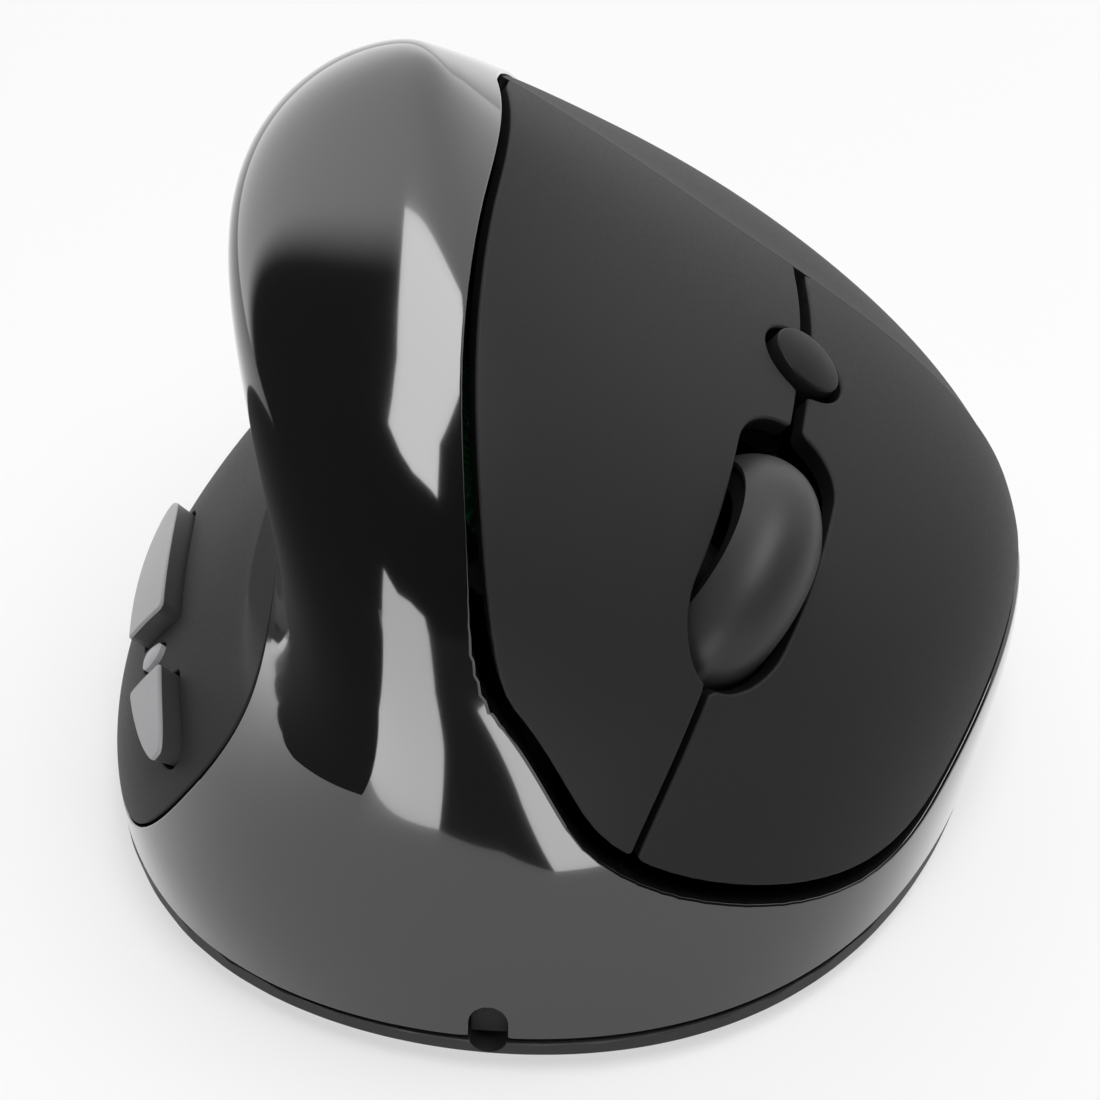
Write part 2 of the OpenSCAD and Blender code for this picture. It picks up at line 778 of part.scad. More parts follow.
module usb_receiver() {
    color("#3a3a3d") receiver_solid();
}

module receiver_solid() {
    translate([receiver_at.x, receiver_at.y, base_lift + well_gap]) {
        translate([-head_size.x / 2, -head_size.y / 2, 0]) cube(head_size);
        translate([-plug_size.x / 2, -plug_size.y / 2, head_size.z - eps]) cube(plug_size + [0, 0, eps]);
    }
}

module main_board() {
    color("#1f5a35") difference() {
        translate([board_x[0], main_board_y[0], main_board_z])
            cube([board_x[1] - board_x[0], main_board_y[1] - main_board_y[0], board_t]);
        standoff_places() cylinder(d = screw_d + 2 * screw_gap, h = 40);
    }
}

module sensor_chip() {
    color("#151517") translate([sensor_at.x - 5, sensor_at.y - 4.5, main_board_z - 3]) cube([10, 9, 3]);
}

module sensor_lens() {
    color("#d5dbe0") {
        difference() {
            translate([sensor_at.x - 6, sensor_at.y - 8, base_top]) cube([12, 16, 2.4]);
            translate([sensor_at.x, sensor_at.y, base_top + 1.4]) cylinder(d = 5, h = 2);
        }
        translate([sensor_at.x, sensor_at.y, base_top - 1.2]) cylinder(d = 5, h = 1.2 + eps);
    }
}

module power_switch() {
    color("#1c1c1e") difference() {
        translate([power_at.x - 4, power_at.y - 6, main_board_z - 3.2]) cube([8, 12, 3.2]);
        translate([0, 0, main_board_z - 4.4]) intersection() {
            power_slot(-1);
            cube([far, 2 * far, 6.4], center = true);
        }
    }
}

module power_slider() {
    k = power_knob;
    color("#d0d0d2") translate([power_at.x, power_at.y - power_travel, 0]) {
        translate([-k.x / 2, -k.y / 2, base_lift + 0.3]) cube([k.x, k.y, base_t]);
        translate([-k.x / 2 - 1, -k.y / 2 - 2.2, base_top + 0.2]) cube([k.x + 2, k.y + 4.4, 1]);
        translate([-0.7, -0.4, base_top + 1]) cube([1.4, 0.8, 2.6]);
    }
}

// Outline of the frame plate and the button board, grown by d
module board_plan(d) {
    x0 = down(-37);
    x1 = down(12);
    y0 = -39 * fit.y;
    y1 = dpi_at.y + 9.3;
    offset(delta = d)
        polygon([[x0, y1], [x0, y0 + 6], [x0 + 6, y0], [down(-2), y0], [x1, y0 + 12 * fit.y], [x1, y1]]);
}

module wheel_window(gap) {
    translate(wheel_at) rotate(wheel_yaw)
        square([2 * (window_half + gap), 2 * (wheel_r + 0.8 + gap)], center = true);
}

module ear_places() {
    x = arm_in + arm_t + ear_gap;
    for (s = [-1, 1]) translate([s * (x + ear_t / 2), rocker_y, 0]) children();
}

module inner_frame() {
    color("#4a4a4e") {
        difference() {
            union() {
                in_finger() translate([0, 0, plate_z]) linear_extrude(frame_t) difference() {
                    board_plan(1);
                    wheel_window(0);
                }
                intersection() {
                    leg_places() translate([0, 0, base_top]) cylinder(d = leg_d, h = far / 2);
                    in_finger() translate([-far / 2, -far / 2, plate_z + 1 - far]) cube(far);
                }
            }
            leg_places() cylinder(d = screw_d + screw_gap, h = base_top + screw_reach + 1);
        }
        // Ears that carry the pins of the wheel fork
        in_wheel() difference() {
            ear_places() translate([-ear_t / 2, -ear_w / 2, plate_z + frame_t - wheel_z - eps])
                cube([ear_t, ear_w, wheel_z - plate_z - frame_t + ear_w / 2]);
            translate([-far / 2, rocker_y, 0]) rotate([0, 90, 0]) cylinder(d = pin_d + bore_gap, h = far);
        }
    }
}

module button_board() {
    color("#1f5a35") in_finger() translate([0, 0, board_z - board_t]) linear_extrude(board_t) difference() {
        board_plan(0);
        wheel_window(0.3);
        translate(wheel_at) rotate(wheel_yaw) ear_places() square([ear_t + 0.6, ear_w + 0.6], center = true);
    }
}

module snap_case(at) {
    room = plunger_sink + key_stroke(at) + 0.3;
    in_finger() translate([at.x, at.y, board_z]) difference() {
        translate([-snap_size.x / 2, -snap_size.y / 2, 0]) cube(snap_size);
        translate([-snap_button.x / 2 - play, -snap_button.y / 2 - play, snap_h - room])
            cube([snap_button.x + 2 * play, snap_button.y + 2 * play, 20]);
    }
}

module snap_plunger(at) {
    h = plunger_sink + plunger_out;
    in_finger() translate([at.x - snap_button.x / 2, at.y - snap_button.y / 2, snap_top - h])
        cube([snap_button.x, snap_button.y, h]);
}

module tact_case(w) {
    difference() {
        translate([-w / 2, -w / 2, 0]) cube([w, w, tact_h]);
        translate([0, 0, tact_h - plunger_sink - button_travel - play])
            cylinder(d = tact_button_d + 2 * play, h = 20);
    }
}

module tact_plunger() {
    translate([0, 0, tact_h - plunger_sink]) cylinder(d = tact_button_d, h = plunger_sink + plunger_out);
}

module at_middle() in_wheel() translate([middle_x, 0, board_z - wheel_z]) children();
module at_dpi() in_finger() translate([dpi_at.x, dpi_at.y, board_z]) children();
module at_thumb(at) in_hip() translate([at.x, at.y, thumb_board_z]) children();

module upper_switch() { color("#202024") snap_case(upper_at); }
module lower_switch() { color("#202024") snap_case(lower_at); }
module middle_switch() { color("#202024") at_middle() tact_case(tact_w); }
module dpi_switch() { color("#202024") at_dpi() tact_case(tact_dpi); }
module forward_switch() { color("#202024") at_thumb(thumb_at[0]) tact_case(tact_w); }
module back_switch() { color("#202024") at_thumb(thumb_at[1]) tact_case(tact_w); }
module upper_plunger() { color("#b03030") snap_plunger(upper_at); }
module lower_plunger() { color("#b03030") snap_plunger(lower_at); }
module middle_plunger() { color("#d8d8d0") at_middle() tact_plunger(); }
module dpi_plunger() { color("#d8d8d0") at_dpi() tact_plunger(); }
module forward_plunger() { color("#d8d8d0") at_thumb(thumb_at[0]) tact_plunger(); }
module back_plunger() { color("#d8d8d0") at_thumb(thumb_at[1]) tact_plunger(); }

module thumb_board() {
    color("#1f5a35") in_hip() translate([-3.2, thumb_at[0].y - 8, thumb_board_z - board_t])
        cube([7.2, thumb_at[1].y - thumb_at[0].y + 16, board_t]);
}

dpi_guide_top = tact_top + 2.4;
dpi_top = deck + 0.4 + dpi_proud;

module dpi_guide() {
    bore = dpi_stem_d + bore_gap;
    color("#4a4a4e") at_dpi() difference() {
        cylinder(d = dpi_guide_d, h = dpi_guide_top - board_z);
        translate([0, 0, -1]) cylinder(d = dpi_guide_d - 1.4, h = dpi_guide_top - board_z - 0.4);
        cylinder(d = bore, h = 40);
    }
}

module dpi_button() {
    low = dpi_guide_top + button_travel + 0.4;
    color(button_grey) in_finger() translate([dpi_at.x, dpi_at.y, 0]) {
        translate([0, 0, tact_top + plunger_gap]) cylinder(d = dpi_stem_d, h = low - tact_top);
        translate([0, 0, low]) rotate_extrude() {
            square([dpi_d / 2, dpi_top - 0.7 - low]);
            square([dpi_d / 2 - 0.7, dpi_top - low]);
            translate([dpi_d / 2 - 0.7, dpi_top - low - 0.7]) intersection() {
                circle(0.7);
                square(1);
            }
        }
    }
}

module wheel_hub() {
    color("#2e2e31") in_wheel() rotate([0, 90, 0]) {
        difference() {
            cylinder(r = hub_r, h = tyre_w - 1, center = true);
            for (s = [-1, 1]) translate([0, 0, s * (tyre_w / 4 + 0.55)])
                cylinder(r = hub_r - 1.9, h = tyre_w / 2 - 0.5, center = true);
            for (i = [0 : hub_slots - 1]) rotate(i * 360 / hub_slots)
                translate([hub_r / 2, -0.45, -5]) cube([hub_r / 2 - 2.6, 0.9, 10]);
        }
        cylinder(d = 2 * axle_d, h = tyre_w, center = true);
        cylinder(d = axle_d, h = 2 * (arm_in + arm_t) - 0.4, center = true);
    }
}

module wheel_tyre() {
    n = 14;
    function crown(h) = wheel_r - tyre_drop * pow(abs(2 * h / tyre_w), tyre_round);
    color("#3a3a3c") in_wheel() rotate([0, 90, 0]) rotate_extrude()
        polygon(concat([[hub_r, tyre_w / 2], [hub_r, -tyre_w / 2]],
            [for (i = [0 : n]) let (h = tyre_w * (i / n - 0.5)) [crown(h), h]]));
}

module wheel_rocker() {
    arm_y = -arm_h / 2;
    color("#5a5a5e") in_wheel() difference() {
        union() {
            for (s = [-1, 1]) translate([s * (arm_in + arm_t / 2) - arm_t / 2, arm_y, -arm_h / 2])
                cube([arm_t, rocker_y + pin_d / 2 + 0.2 - arm_y, arm_h]);
            translate([-arm_in, rocker_y - bar_t / 2, -arm_h / 2]) cube([2 * arm_in, bar_t, arm_h - 2]);
            translate([arm_in, -2, tact_top + plunger_gap - wheel_z])
                cube([arm_t + 0.6 + tact_w / 2 + 1.5, 4, tab_t]);
            for (s = [-1, 1]) translate([s * (arm_in + arm_t), rocker_y, 0]) rotate([0, s * 90, 0])
                cylinder(d = pin_d, h = ear_gap + ear_t);
        }
        translate([-far / 2, 0, 0]) rotate([0, 90, 0])
            cylinder(d = axle_d + bore_gap, h = far / 2 + arm_in + arm_t + eps);
    }
}

// One half of the light gate, standing beside the wheel
module gate(side) {
    x = side * (tyre_w / 2 + 1.3 + gate_size.x / 2);
    in_wheel() translate([x, gate_y, board_z - wheel_z]) {
        translate([-gate_size.x / 2, -gate_size.y / 2, 0]) cube(gate_size);
        translate([-side * gate_size.x / 2, 0, gate_size.z - 2]) rotate([0, -side * 90, 0])
            cylinder(d = 2.4, h = 0.4);
    }
}

module wheel_emitter() { color("#3b3f8a") gate(-1); }
module wheel_detector() { color("#1a1a1c") gate(1); }

main_shell();
bottom_cover();
upper_key();
lower_key();
palm_cover();
thumb_panel();
forward_button();
back_button();
status_lens();
outlet_plug();
glide_feet();
battery_door();
usb_receiver();
power_slider();
power_switch();
battery();
front_contact();
rear_contact();
main_board();
sensor_chip();
sensor_lens();
inner_frame();
button_board();
thumb_board();
wheel_rocker();
wheel_hub();
wheel_tyre();
wheel_emitter();
wheel_detector();
dpi_button();
dpi_guide();
upper_switch();
lower_switch();
middle_switch();
dpi_switch();
forward_switch();
back_switch();
upper_plunger();
lower_plunger();
middle_plunger();
dpi_plunger();
forward_plunger();
back_plunger();
shell_screws();
frame_screws();
board_screws();
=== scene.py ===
# A left-hand vertical mouse: a tall glossy body, soft-touch keys on the finger side,
# a slanted scroll wheel, a round speed button and two thumb buttons.
import json
import math

import bmesh
import bpy
import numpy as np
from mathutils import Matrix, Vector
from mathutils.geometry import convex_hull_2d


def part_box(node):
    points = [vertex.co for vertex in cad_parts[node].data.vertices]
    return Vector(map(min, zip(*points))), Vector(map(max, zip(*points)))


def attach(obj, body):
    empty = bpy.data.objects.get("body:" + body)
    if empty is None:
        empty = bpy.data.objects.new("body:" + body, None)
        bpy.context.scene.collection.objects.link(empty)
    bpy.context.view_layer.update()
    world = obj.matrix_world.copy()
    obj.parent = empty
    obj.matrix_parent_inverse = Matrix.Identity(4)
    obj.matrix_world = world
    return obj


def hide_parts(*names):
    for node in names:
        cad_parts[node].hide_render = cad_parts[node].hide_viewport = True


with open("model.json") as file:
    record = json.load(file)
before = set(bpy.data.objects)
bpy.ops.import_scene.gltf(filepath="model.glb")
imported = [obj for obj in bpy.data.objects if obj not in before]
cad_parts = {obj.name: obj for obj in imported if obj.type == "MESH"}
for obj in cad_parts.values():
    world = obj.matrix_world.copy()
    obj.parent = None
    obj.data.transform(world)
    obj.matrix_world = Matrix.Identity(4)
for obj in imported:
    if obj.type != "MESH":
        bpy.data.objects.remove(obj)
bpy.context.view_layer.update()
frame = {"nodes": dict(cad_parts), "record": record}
nodes = frame["nodes"]
scene = bpy.context.scene
MM = 0.001

# Body
# One tall shell of injection-moulded ABS, polished to a piano gloss. It leans over the hand and
# ends in a rounded cap. Its surface is a spline net through guide lines from the base to the cap.
LEVEL = (2, 8, 16, 25, 35, 45, 55, 63, 68.5, 71.5)
FRONT = ((3.5, -60), (1, -59), (-2.5, -57), (-5.5, -55.5), (-7.5, -55),
         (-8.5, -53), (-9, -46), (-11, -32), (-12.5, -15), (-14, -4))
FINGER = ((42.5, 6), (44.5, 4), (47, 2.5), (45.5, 0), (36, -2.5),
          (21, -5), (8, -6.5), (-2, -7.5), (-9, -6), (-14, -4))
BACK = ((-1.5, 62.5), (-1.5, 62.5), (-1.5, 60.5), (-2.5, 56), (-4.5, 48),
        (-7.5, 36.5), (-9.5, 23), (-11.5, 11), (-14.5, 2.5), (-14, -4))
THUMB = ((-45, -1), (-44.5, -6), (-40, -10.5), (-28.5, -14.5), (-24, -18),
         (-25.5, -20.5), (-28.5, -19.5), (-30.5, -14), (-25, -8.5), (-14, -4))
FULLNESS = (0.74, 0.6, 0.68, 0.8)
SPANS, GUIDES = len(LEVEL) - 1, 8
APEX = np.array((-14.3, -5.3, 70.5))
WALL = 3.0
SHELL_LOW = 3.5


def corner(a, b, k):
    return (a[0] + k * (b[0] - a[0]), b[1] + k * (a[1] - b[1]))


def guide_ring(s):
    f, g, b, t = FRONT[s], FINGER[s], BACK[s], THUMB[s]
    ring = (f, corner(f, g, FULLNESS[0]), g, corner(b, g, FULLNESS[1]),
            b, corner(b, t, FULLNESS[2]), t, corner(f, t, FULLNESS[3]))
    return [(x, y, LEVEL[s]) for x, y in ring]


net = np.array([guide_ring(s) for s in range(SPANS + 1)])
net = np.concatenate([[2 * net[0] - net[1]], net, [np.roll(net[SPANS - 1], 4, axis=0)]])


def weights(t):
    return np.stack([(1 - t) ** 3, 3 * t ** 3 - 6 * t ** 2 + 4,
                     -3 * t ** 3 + 3 * t ** 2 + 3 * t + 1, t ** 3], -1) / 6


def net_point(u, v):
    i = np.clip(np.floor(u).astype(int), 0, SPANS - 1)
    j = np.floor(v).astype(int)
    wu, wv = weights(u - i), weights(v - j)
    out = np.zeros(u.shape + (3,))
    for a in range(4):
        for b in range(4):
            out += (wu[..., a] * wv[..., b])[..., None] * net[i + a, (j + b - 1) % GUIDES]
    return out


def body_point(u, v):
    """A point of the body in millimetres; u runs from base to cap, v once round from the front."""
    p = net_point(u, v)
    t = np.clip(u - (SPANS - 1), 0, 1)
    close = (t * t * (3 - 2 * t))[..., None]
    return p - close * (net_point(np.full_like(u, SPANS), v) - APEX)


def body_normal(u, v, h=0.01):
    lo, hi = np.maximum(u - h, 0), np.minimum(u + h, SPANS)
    n = np.cross(body_point(u, v + h) - body_point(u, v - h), body_point(hi, v) - body_point(lo, v))
    size = np.linalg.norm(n, axis=-1, keepdims=True)
    n = n / np.maximum(size, 1e-12)
    return np.where((u > SPANS - 0.02)[..., None], (0.0, 0.0, 1.0), n)


def plane_frame(x, y, z, at=(0, 0, 0)):
    return {key: np.array(value, float) for key, value in zip(("x", "y", "z", "at"), (x, y, z, at))}


TILT = math.radians(40)
SIDE_VIEW = plane_frame((0, 1, 0), (0, 0, 1), (-1, 0, 0))
FRONT_VIEW = plane_frame((1, 0, 0), (0, 0, 1), (0, -1, 0))
FINGER_FRAME = plane_frame((math.cos(TILT), 0, -math.sin(TILT)), (0, 1, 0),
                           (math.sin(TILT), 0, math.cos(TILT)))


def outline_distance(q, outline):
    """Distance of flat points to a closed outline, positive outside, and its direction."""
    a = np.asarray(outline, float)
    ab = np.roll(a, -1, axis=0) - a
    best = np.full(len(q), 1e18)
    near = np.zeros((len(q), 2))
    inside = np.zeros(len(q), bool)
    for p, d in zip(a, ab):
        length = d @ d
        if length < 1e-12:
            continue
        t = np.clip(((q - p) @ d) / length, 0, 1)
        gap = q - p - t[:, None] * d
        size = (gap ** 2).sum(1)
        take = size < best
        best[take] = size[take]
        near[take] = gap[take]
        if abs(d[1]) > 1e-12:
            crosses = (p[1] > q[:, 1]) != (p[1] + d[1] > q[:, 1])
            inside ^= crosses & (q[:, 0] < p[0] + d[0] * (q[:, 1] - p[1]) / d[1])
    best = np.sqrt(best)
    sign = np.where(inside, -1.0, 1.0)
    return sign * best, sign[:, None] * near / np.maximum(best, 1e-9)[:, None]


FAR, FACING, FLATTEST = 50.0, 0.05, 0.04
GROOVE, GROOVE_MOST, GROOVE_END, GROOVE_FADE = 1.0, 1.75, 2.0, 8.0


def keep_distance(p, n, trims):
    """How far points lie inside what the trims keep, along the surface, and the way back in."""
    depth = np.full(len(p), FAR)
    up = np.tile((0.0, 0.0, 1.0), (len(p), 1))
    way = up.copy()
    for view, outline, inside, *steep in trims:
        if view is None:
            d, e = p[:, 2] - outline, up
        else:
            q = p - view["at"]
            flat, slope = outline_distance(np.stack([q @ view["x"], q @ view["y"]], 1), outline)
            e = slope[:, :1] * view["x"] + slope[:, 1:] * view["y"]
            d = np.where(n @ view["z"] > FACING, flat, FAR)
            if inside:
                d, e = -d, -e
        along = np.sqrt(np.maximum(1 - (e * n).sum(1) ** 2, FLATTEST))
        d = d / along
        if steep:
            fade = np.clip((GROOVE_END - p[:, 1]) / GROOVE_FADE, 0, 1)
            d += fade * np.maximum(0, GROOVE / along - GROOVE_MOST)
        take = d < depth
        depth[take], way[take] = d[take], e[take]
    return depth, way


def new_piece(name, mesh):
    piece = bpy.data.objects.new(name, mesh)
    scene.collection.objects.link(piece)
    return piece


def unit(rows):
    return rows / np.maximum(np.linalg.norm(rows, axis=1), 1e-9)[:, None]


HALVINGS = 14


def trimmed_piece(name, u_cells, v_cells, trims, rounding, thickness, materials, proud=0.0, bend=None):
    """A closed piece cut from the body's surface, with rounded edges, and its finishes outside and inside."""
    us, vs = np.linspace(*u_cells), np.linspace(*v_cells)
    wrap = vs[-1] - vs[0] == GUIDES
    if wrap:
        vs = vs[:-1]
    nu, nv = len(us), len(vs)
    uu, vv = (g.ravel() for g in np.meshgrid(us, vs, indexing="ij"))
    grid_p, grid_n = body_point(uu, vv), body_normal(uu, vv)
    edge = rounding if callable(rounding) else lambda points: np.full(len(points), rounding)
    kept = (keep_distance(grid_p, grid_n, trims)[0] > edge(grid_p)).reshape(nu, nv)
    ids = -np.ones((nu, nv), int)
    ids[kept] = np.arange(kept.sum())
    if us[-1] >= SPANS:
        ids[-1, :] = ids[-1, 0]
    pu, pv = list(uu[kept.ravel()]), list(vv[kept.ravel()])

    cross = {}
    columns = nv if wrap else nv - 1
    step = vs[1] - vs[0]
    ends = []
    for kind, (di, dj) in enumerate(((0, 1), (1, 0))):
        for i in range(nu - di):
            for j in range(columns if dj else nv):
                if kept[i, j] != kept[i + di, (j + dj) % nv]:
                    pair = ((us[i], vs[j]), (us[i + di], vs[j] + dj * step))
                    ends.append(((kind, i, j), pair if kept[i, j] else pair[::-1]))
    if ends:
        start, stop = np.array([e[1] for e in ends]).transpose(1, 0, 2)
        for _ in range(HALVINGS):
            mid = (start + stop) / 2
            at = body_point(*mid.T)
            held = keep_distance(at, body_normal(*mid.T), trims)[0] > edge(at)
            start[held], stop[~held] = mid[held], mid[~held]
        for e, q in zip(ends, start):
            cross[e[0]] = len(pu)
            pu.append(q[0])
            pv.append(q[1])

    faces, onward = [], {}
    for i in range(nu - 1):
        for j in range(columns):
            k = (j + 1) % nv
            ring = ((i, j), (i, k), (i + 1, k), (i + 1, j))
            edges = ((0, i, j), (1, i, k), (0, i + 1, j), (1, i, j))
            face, seam = [], []
            for c in range(4):
                if kept[ring[c]]:
                    face.append(ids[ring[c]])
                if edges[c] in cross:
                    face.append(cross[edges[c]])
                    seam.append((len(face) - 1, kept[ring[c]]))
            face_ids = [f for c, f in enumerate(face) if f != face[c - 1] or len(face) == 1]
            if len(face_ids) < 3:
                continue
            faces.append(face_ids)
            for place, leaving in seam:
                if leaving:
                    onward[face[place]] = face[(place + 1) % len(face)]

    pu, pv = np.array(pu), np.array(pv)
    p, n = body_point(pu, pv), body_normal(pu, pv)
    if bend:
        p, n = bend(p, n)
    rim = np.array(sorted(onward))
    radius = edge(p[rim])[:, None]
    way = keep_distance(p[rim], n[rim], trims)[1]
    out = unit((way * n[rim]).sum(1)[:, None] * n[rim] - way)
    place = {r: c for c, r in enumerate(rim)}
    ahead = np.array([place[onward[r]] for r in rim])
    for _ in range(2):
        mixed = 2 * out + out[ahead]
        np.add.at(mixed, ahead, out)
        out = unit(mixed)
        out = unit(out - (out * n[rim]).sum(1)[:, None] * n[rim])

    top, count = p + proud * n, len(p)
    points = [top, p - thickness * n]
    bends = [math.radians(a) for a in (22.5, 45, 67.5, 90)]
    row_normals = [n[rim]]
    for a in bends:
        points.append(top[rim] + radius * (math.sin(a) * out - (1 - math.cos(a)) * n[rim]))
        row_normals.append(math.cos(a) * n[rim] + math.sin(a) * out)
    points.append(p[rim] + radius * out - thickness * n[rim])
    rounds = 2 * count + np.arange((len(bends) + 1) * len(rim)).reshape(-1, len(rim))
    rows = [rim, *rounds, count + rim]
    bands = list(zip(row_normals, row_normals[1:])) + [(out, out), (-n[rim], -n[rim])]

    corners, polys, inside = [], [], []
    for f in faces:
        polys.append(f)
        corners.extend(n[f])
        back = f[::-1]
        polys.append([count + c for c in back])
        corners.extend(-n[back])
        inside += [0, 1]
    # The side walls and the back take the second material; on the keys and panels its dark walls paint the
    # shade in the gaps.
    for c, d in enumerate(ahead):
        for a, b, (above, below) in zip(rows, rows[1:], bands):
            polys.append([a[d], a[c], b[c], b[d]])
            corners += [above[d], above[c], below[c], below[d]]
        inside += [0] * len(bends) + [1, 1]
    mesh = bpy.data.meshes.new(name)
    mesh.from_pydata((np.concatenate(points) * MM).tolist(), [], [[int(c) for c in f] for f in polys])
    mesh.shade_smooth()
    mesh.normals_split_custom_set([tuple(c) for c in corners])
    for material in materials:
        mesh.materials.append(material)
    mesh.polygons.foreach_set("material_index", [min(k, len(materials) - 1) for k in inside])
    return new_piece(name, mesh)


def srgb(code):
    """A hex colour as linear values."""
    parts = [int(code[k:k + 2], 16) / 255 for k in (1, 3, 5)]
    return tuple(c / 12.92 if c <= 0.04045 else ((c + 0.055) / 1.055) ** 2.4 for c in parts) + (1.0,)


def add(tree, kind, settings=None, **links):
    """One node: settings for its properties and plain socket values, links for its inputs."""
    node = tree.nodes.new(kind)
    for key, value in (settings or {}).items():
        if isinstance(key, int) or key in node.inputs:
            node.inputs[key].default_value = value
        else:
            setattr(node, key, value)
    for key, source in links.items():
        name = key.replace("_", " ")
        tree.links.new(source, node.inputs[name if name in node.inputs else int(key.strip("i"))])
    return node


def start_material(name):
    material = bpy.data.materials.new(name)
    material.use_nodes = True
    tree = material.node_tree
    tree.nodes.clear()
    place = add(tree, "ShaderNodeTexCoord").outputs["Object"]
    return material, tree, place


def finish_material(material, shader):
    add(material.node_tree, "ShaderNodeOutputMaterial", Surface=shader.outputs[0])
    return material


RIPPLE, HAZE = 11.111, 22.222


# Polished black ABS under a clear lacquer: a deep black below two mirror-like skins. The base coat has
# a trace of haze and the faint ripple of a moulded wall, so reflections are crisp but not perfect.
def piano_abs():
    material, tree, place = start_material("lacquered_abs")
    ripple = add(tree, "ShaderNodeTexNoise", {"Scale": 1 / (RIPPLE * MM), "Detail": 1.0}, Vector=place)
    haze = add(tree, "ShaderNodeTexNoise", {"Scale": 1 / (HAZE * MM), "Detail": 3.0}, Vector=place)
    rough = add(tree, "ShaderNodeMapRange", {"To Min": 0.08, "To Max": 0.14}, Value=haze.outputs["Fac"])
    bump = add(tree, "ShaderNodeBump", {"Strength": 0.02, "Distance": 0.5 * MM}, Height=ripple.outputs["Fac"])
    shader = add(tree, "ShaderNodeBsdfPrincipled",
                 {"Base Color": srgb("#0b0b0c"), "IOR": 1.53, "Coat Weight": 1.0, "Coat IOR": 1.5,
                  "Coat Roughness": 0.04},
                 Roughness=rough.outputs["Result"], Normal=bump.outputs["Normal"])
    return finish_material(material, shader)


def grained(name, colour, grain, rough, relief, cloud, gloss):
    """A material whose roughness and relief vary with a fine grain, and its colour with faint clouds.

    grain and cloud start with a size in millimetres and a detail, rough and the end of cloud are lowest and
    highest, and relief is strength and depth in millimetres. gloss holds the shader's own values.
    """
    material, tree, place = start_material(name)
    size, detail = grain
    noise = add(tree, "ShaderNodeTexNoise", {"Scale": 1 / (size * MM), "Detail": detail}, Vector=place)
    speck = noise.outputs["Fac"]
    dull = add(tree, "ShaderNodeMapRange", {"To Min": rough[0], "To Max": rough[1]}, Value=speck)
    shader = add(tree, "ShaderNodeBsdfPrincipled", {"Base Color": srgb(colour), **gloss},
                 Roughness=dull.outputs["Result"])
    if relief:
        bump = add(tree, "ShaderNodeBump", {"Strength": relief[0], "Distance": relief[1] * MM}, Height=speck)
        tree.links.new(bump.outputs["Normal"], shader.inputs["Normal"])
    if cloud:
        size, detail, low, high = cloud
        drift = add(tree, "ShaderNodeTexNoise", {"Scale": 1 / (size * MM), "Detail": detail}, Vector=place)
        tone = add(tree, "ShaderNodeMapRange", {"To Min": low, "To Max": high}, Value=drift.outputs["Fac"])
        base = add(tree, "ShaderNodeMix",
                   {"data_type": "RGBA", "blend_type": "MULTIPLY", 0: 1.0, 6: srgb(colour)},
                   i7=tone.outputs["Result"])
        tree.links.new(base.outputs[2], shader.inputs["Base Color"])
    return finish_material(material, shader)


# Moulded ABS from a lightly sparked tool: an even colour with soft, broad highlights. The spark grain
# is drawn coarser than the real 0.1 mm, so that it shows.
def satin_abs(name, colour, low=0.32, high=0.44, grain=0.5, shine=0.5):
    return grained(name, colour, (grain, 2.0), (low, high), (0.08, 0.04), (8.333, 2.0, 0.93, 1.07),
                   {"IOR": 1.5, "Specular IOR Level": shine})


# Bare black ABS for the backs and side walls of pieces. On the soft-touch keys and panels these walls are far
# darker than the paint: partly bare plastic, partly painted shade inside the slit, the wheel slot and the
# grooves.
bare_abs_and_painted_shade = satin_abs("bare_black_abs_and_painted_shade", "#0c0c0d", 0.5, 0.62, shine=0.2)


def arc(centre, radii, start, stop, count=24):
    angles = np.radians(np.linspace(start, stop, count))
    return np.stack([centre[0] + radii[0] * np.cos(angles), centre[1] + radii[1] * np.sin(angles)], 1)


def lobe(centre, radii, power, count=24):
    a = np.linspace(0, math.pi / 2, count + 2)[1:-1]
    return np.stack([centre[0] - radii[0] * np.sin(a) ** (2 / power),
                     centre[1] + radii[1] * np.cos(a) ** (2 / power)], 1)


PANEL_TOP, PANEL_LOW, PANEL_FRONT, PANEL_BACK = -45.2, 18, -50.4, 46
PANEL_MID = (-15, 2)
TOP_CORNER, LOW_CORNER = (22, 35), (30, 22)
PALM_POWER, PALM_WIDER = 1.4, 1


def finger_outline(d):
    """Outline of the finger side in its own plane, moved out by d."""
    back = PANEL_BACK - PANEL_MID[1] + d
    top, low = ((c[0] + d, c[1] + d) for c in (TOP_CORNER, LOW_CORNER))
    return np.concatenate([
        arc((PANEL_TOP + TOP_CORNER[0], PANEL_FRONT + TOP_CORNER[1]), top, 180, 270),
        arc((PANEL_LOW - LOW_CORNER[0], PANEL_FRONT + LOW_CORNER[1]), low, 270, 360),
        arc(PANEL_MID, (PANEL_LOW + PALM_WIDER - PANEL_MID[0] + d, back), 0, 90),
        lobe(PANEL_MID, (PANEL_MID[0] - PANEL_TOP + d, back), PALM_POWER)])


THUMB_ENDS, THUMB_HIGH, THUMB_MID, THUMB_SILL = (39.7, 38.2), 24, 18, 1.2
THUMB_LOW = (13.7, THUMB_MID - SHELL_LOW - THUMB_SILL)


def thumb_outline(d):
    """Outline of the thumb panel seen from the side, moved out by d."""
    low = (THUMB_LOW[0] + d, THUMB_LOW[1] + d)
    return np.concatenate([
        arc((THUMB_LOW[0] - THUMB_ENDS[0], THUMB_MID), low, 180, 270),
        arc((THUMB_ENDS[1] - THUMB_LOW[0], THUMB_MID), low, 270, 360),
        arc((0, THUMB_MID), (THUMB_ENDS[1] + d, THUMB_HIGH + d), 0, 90),
        arc((0, THUMB_MID), (THUMB_ENDS[0] + d, THUMB_HIGH + d), 90, 180)])


OUTLET_X, OUTLET_W, OUTLET_TOP = -2.62, 3.4, 6.6


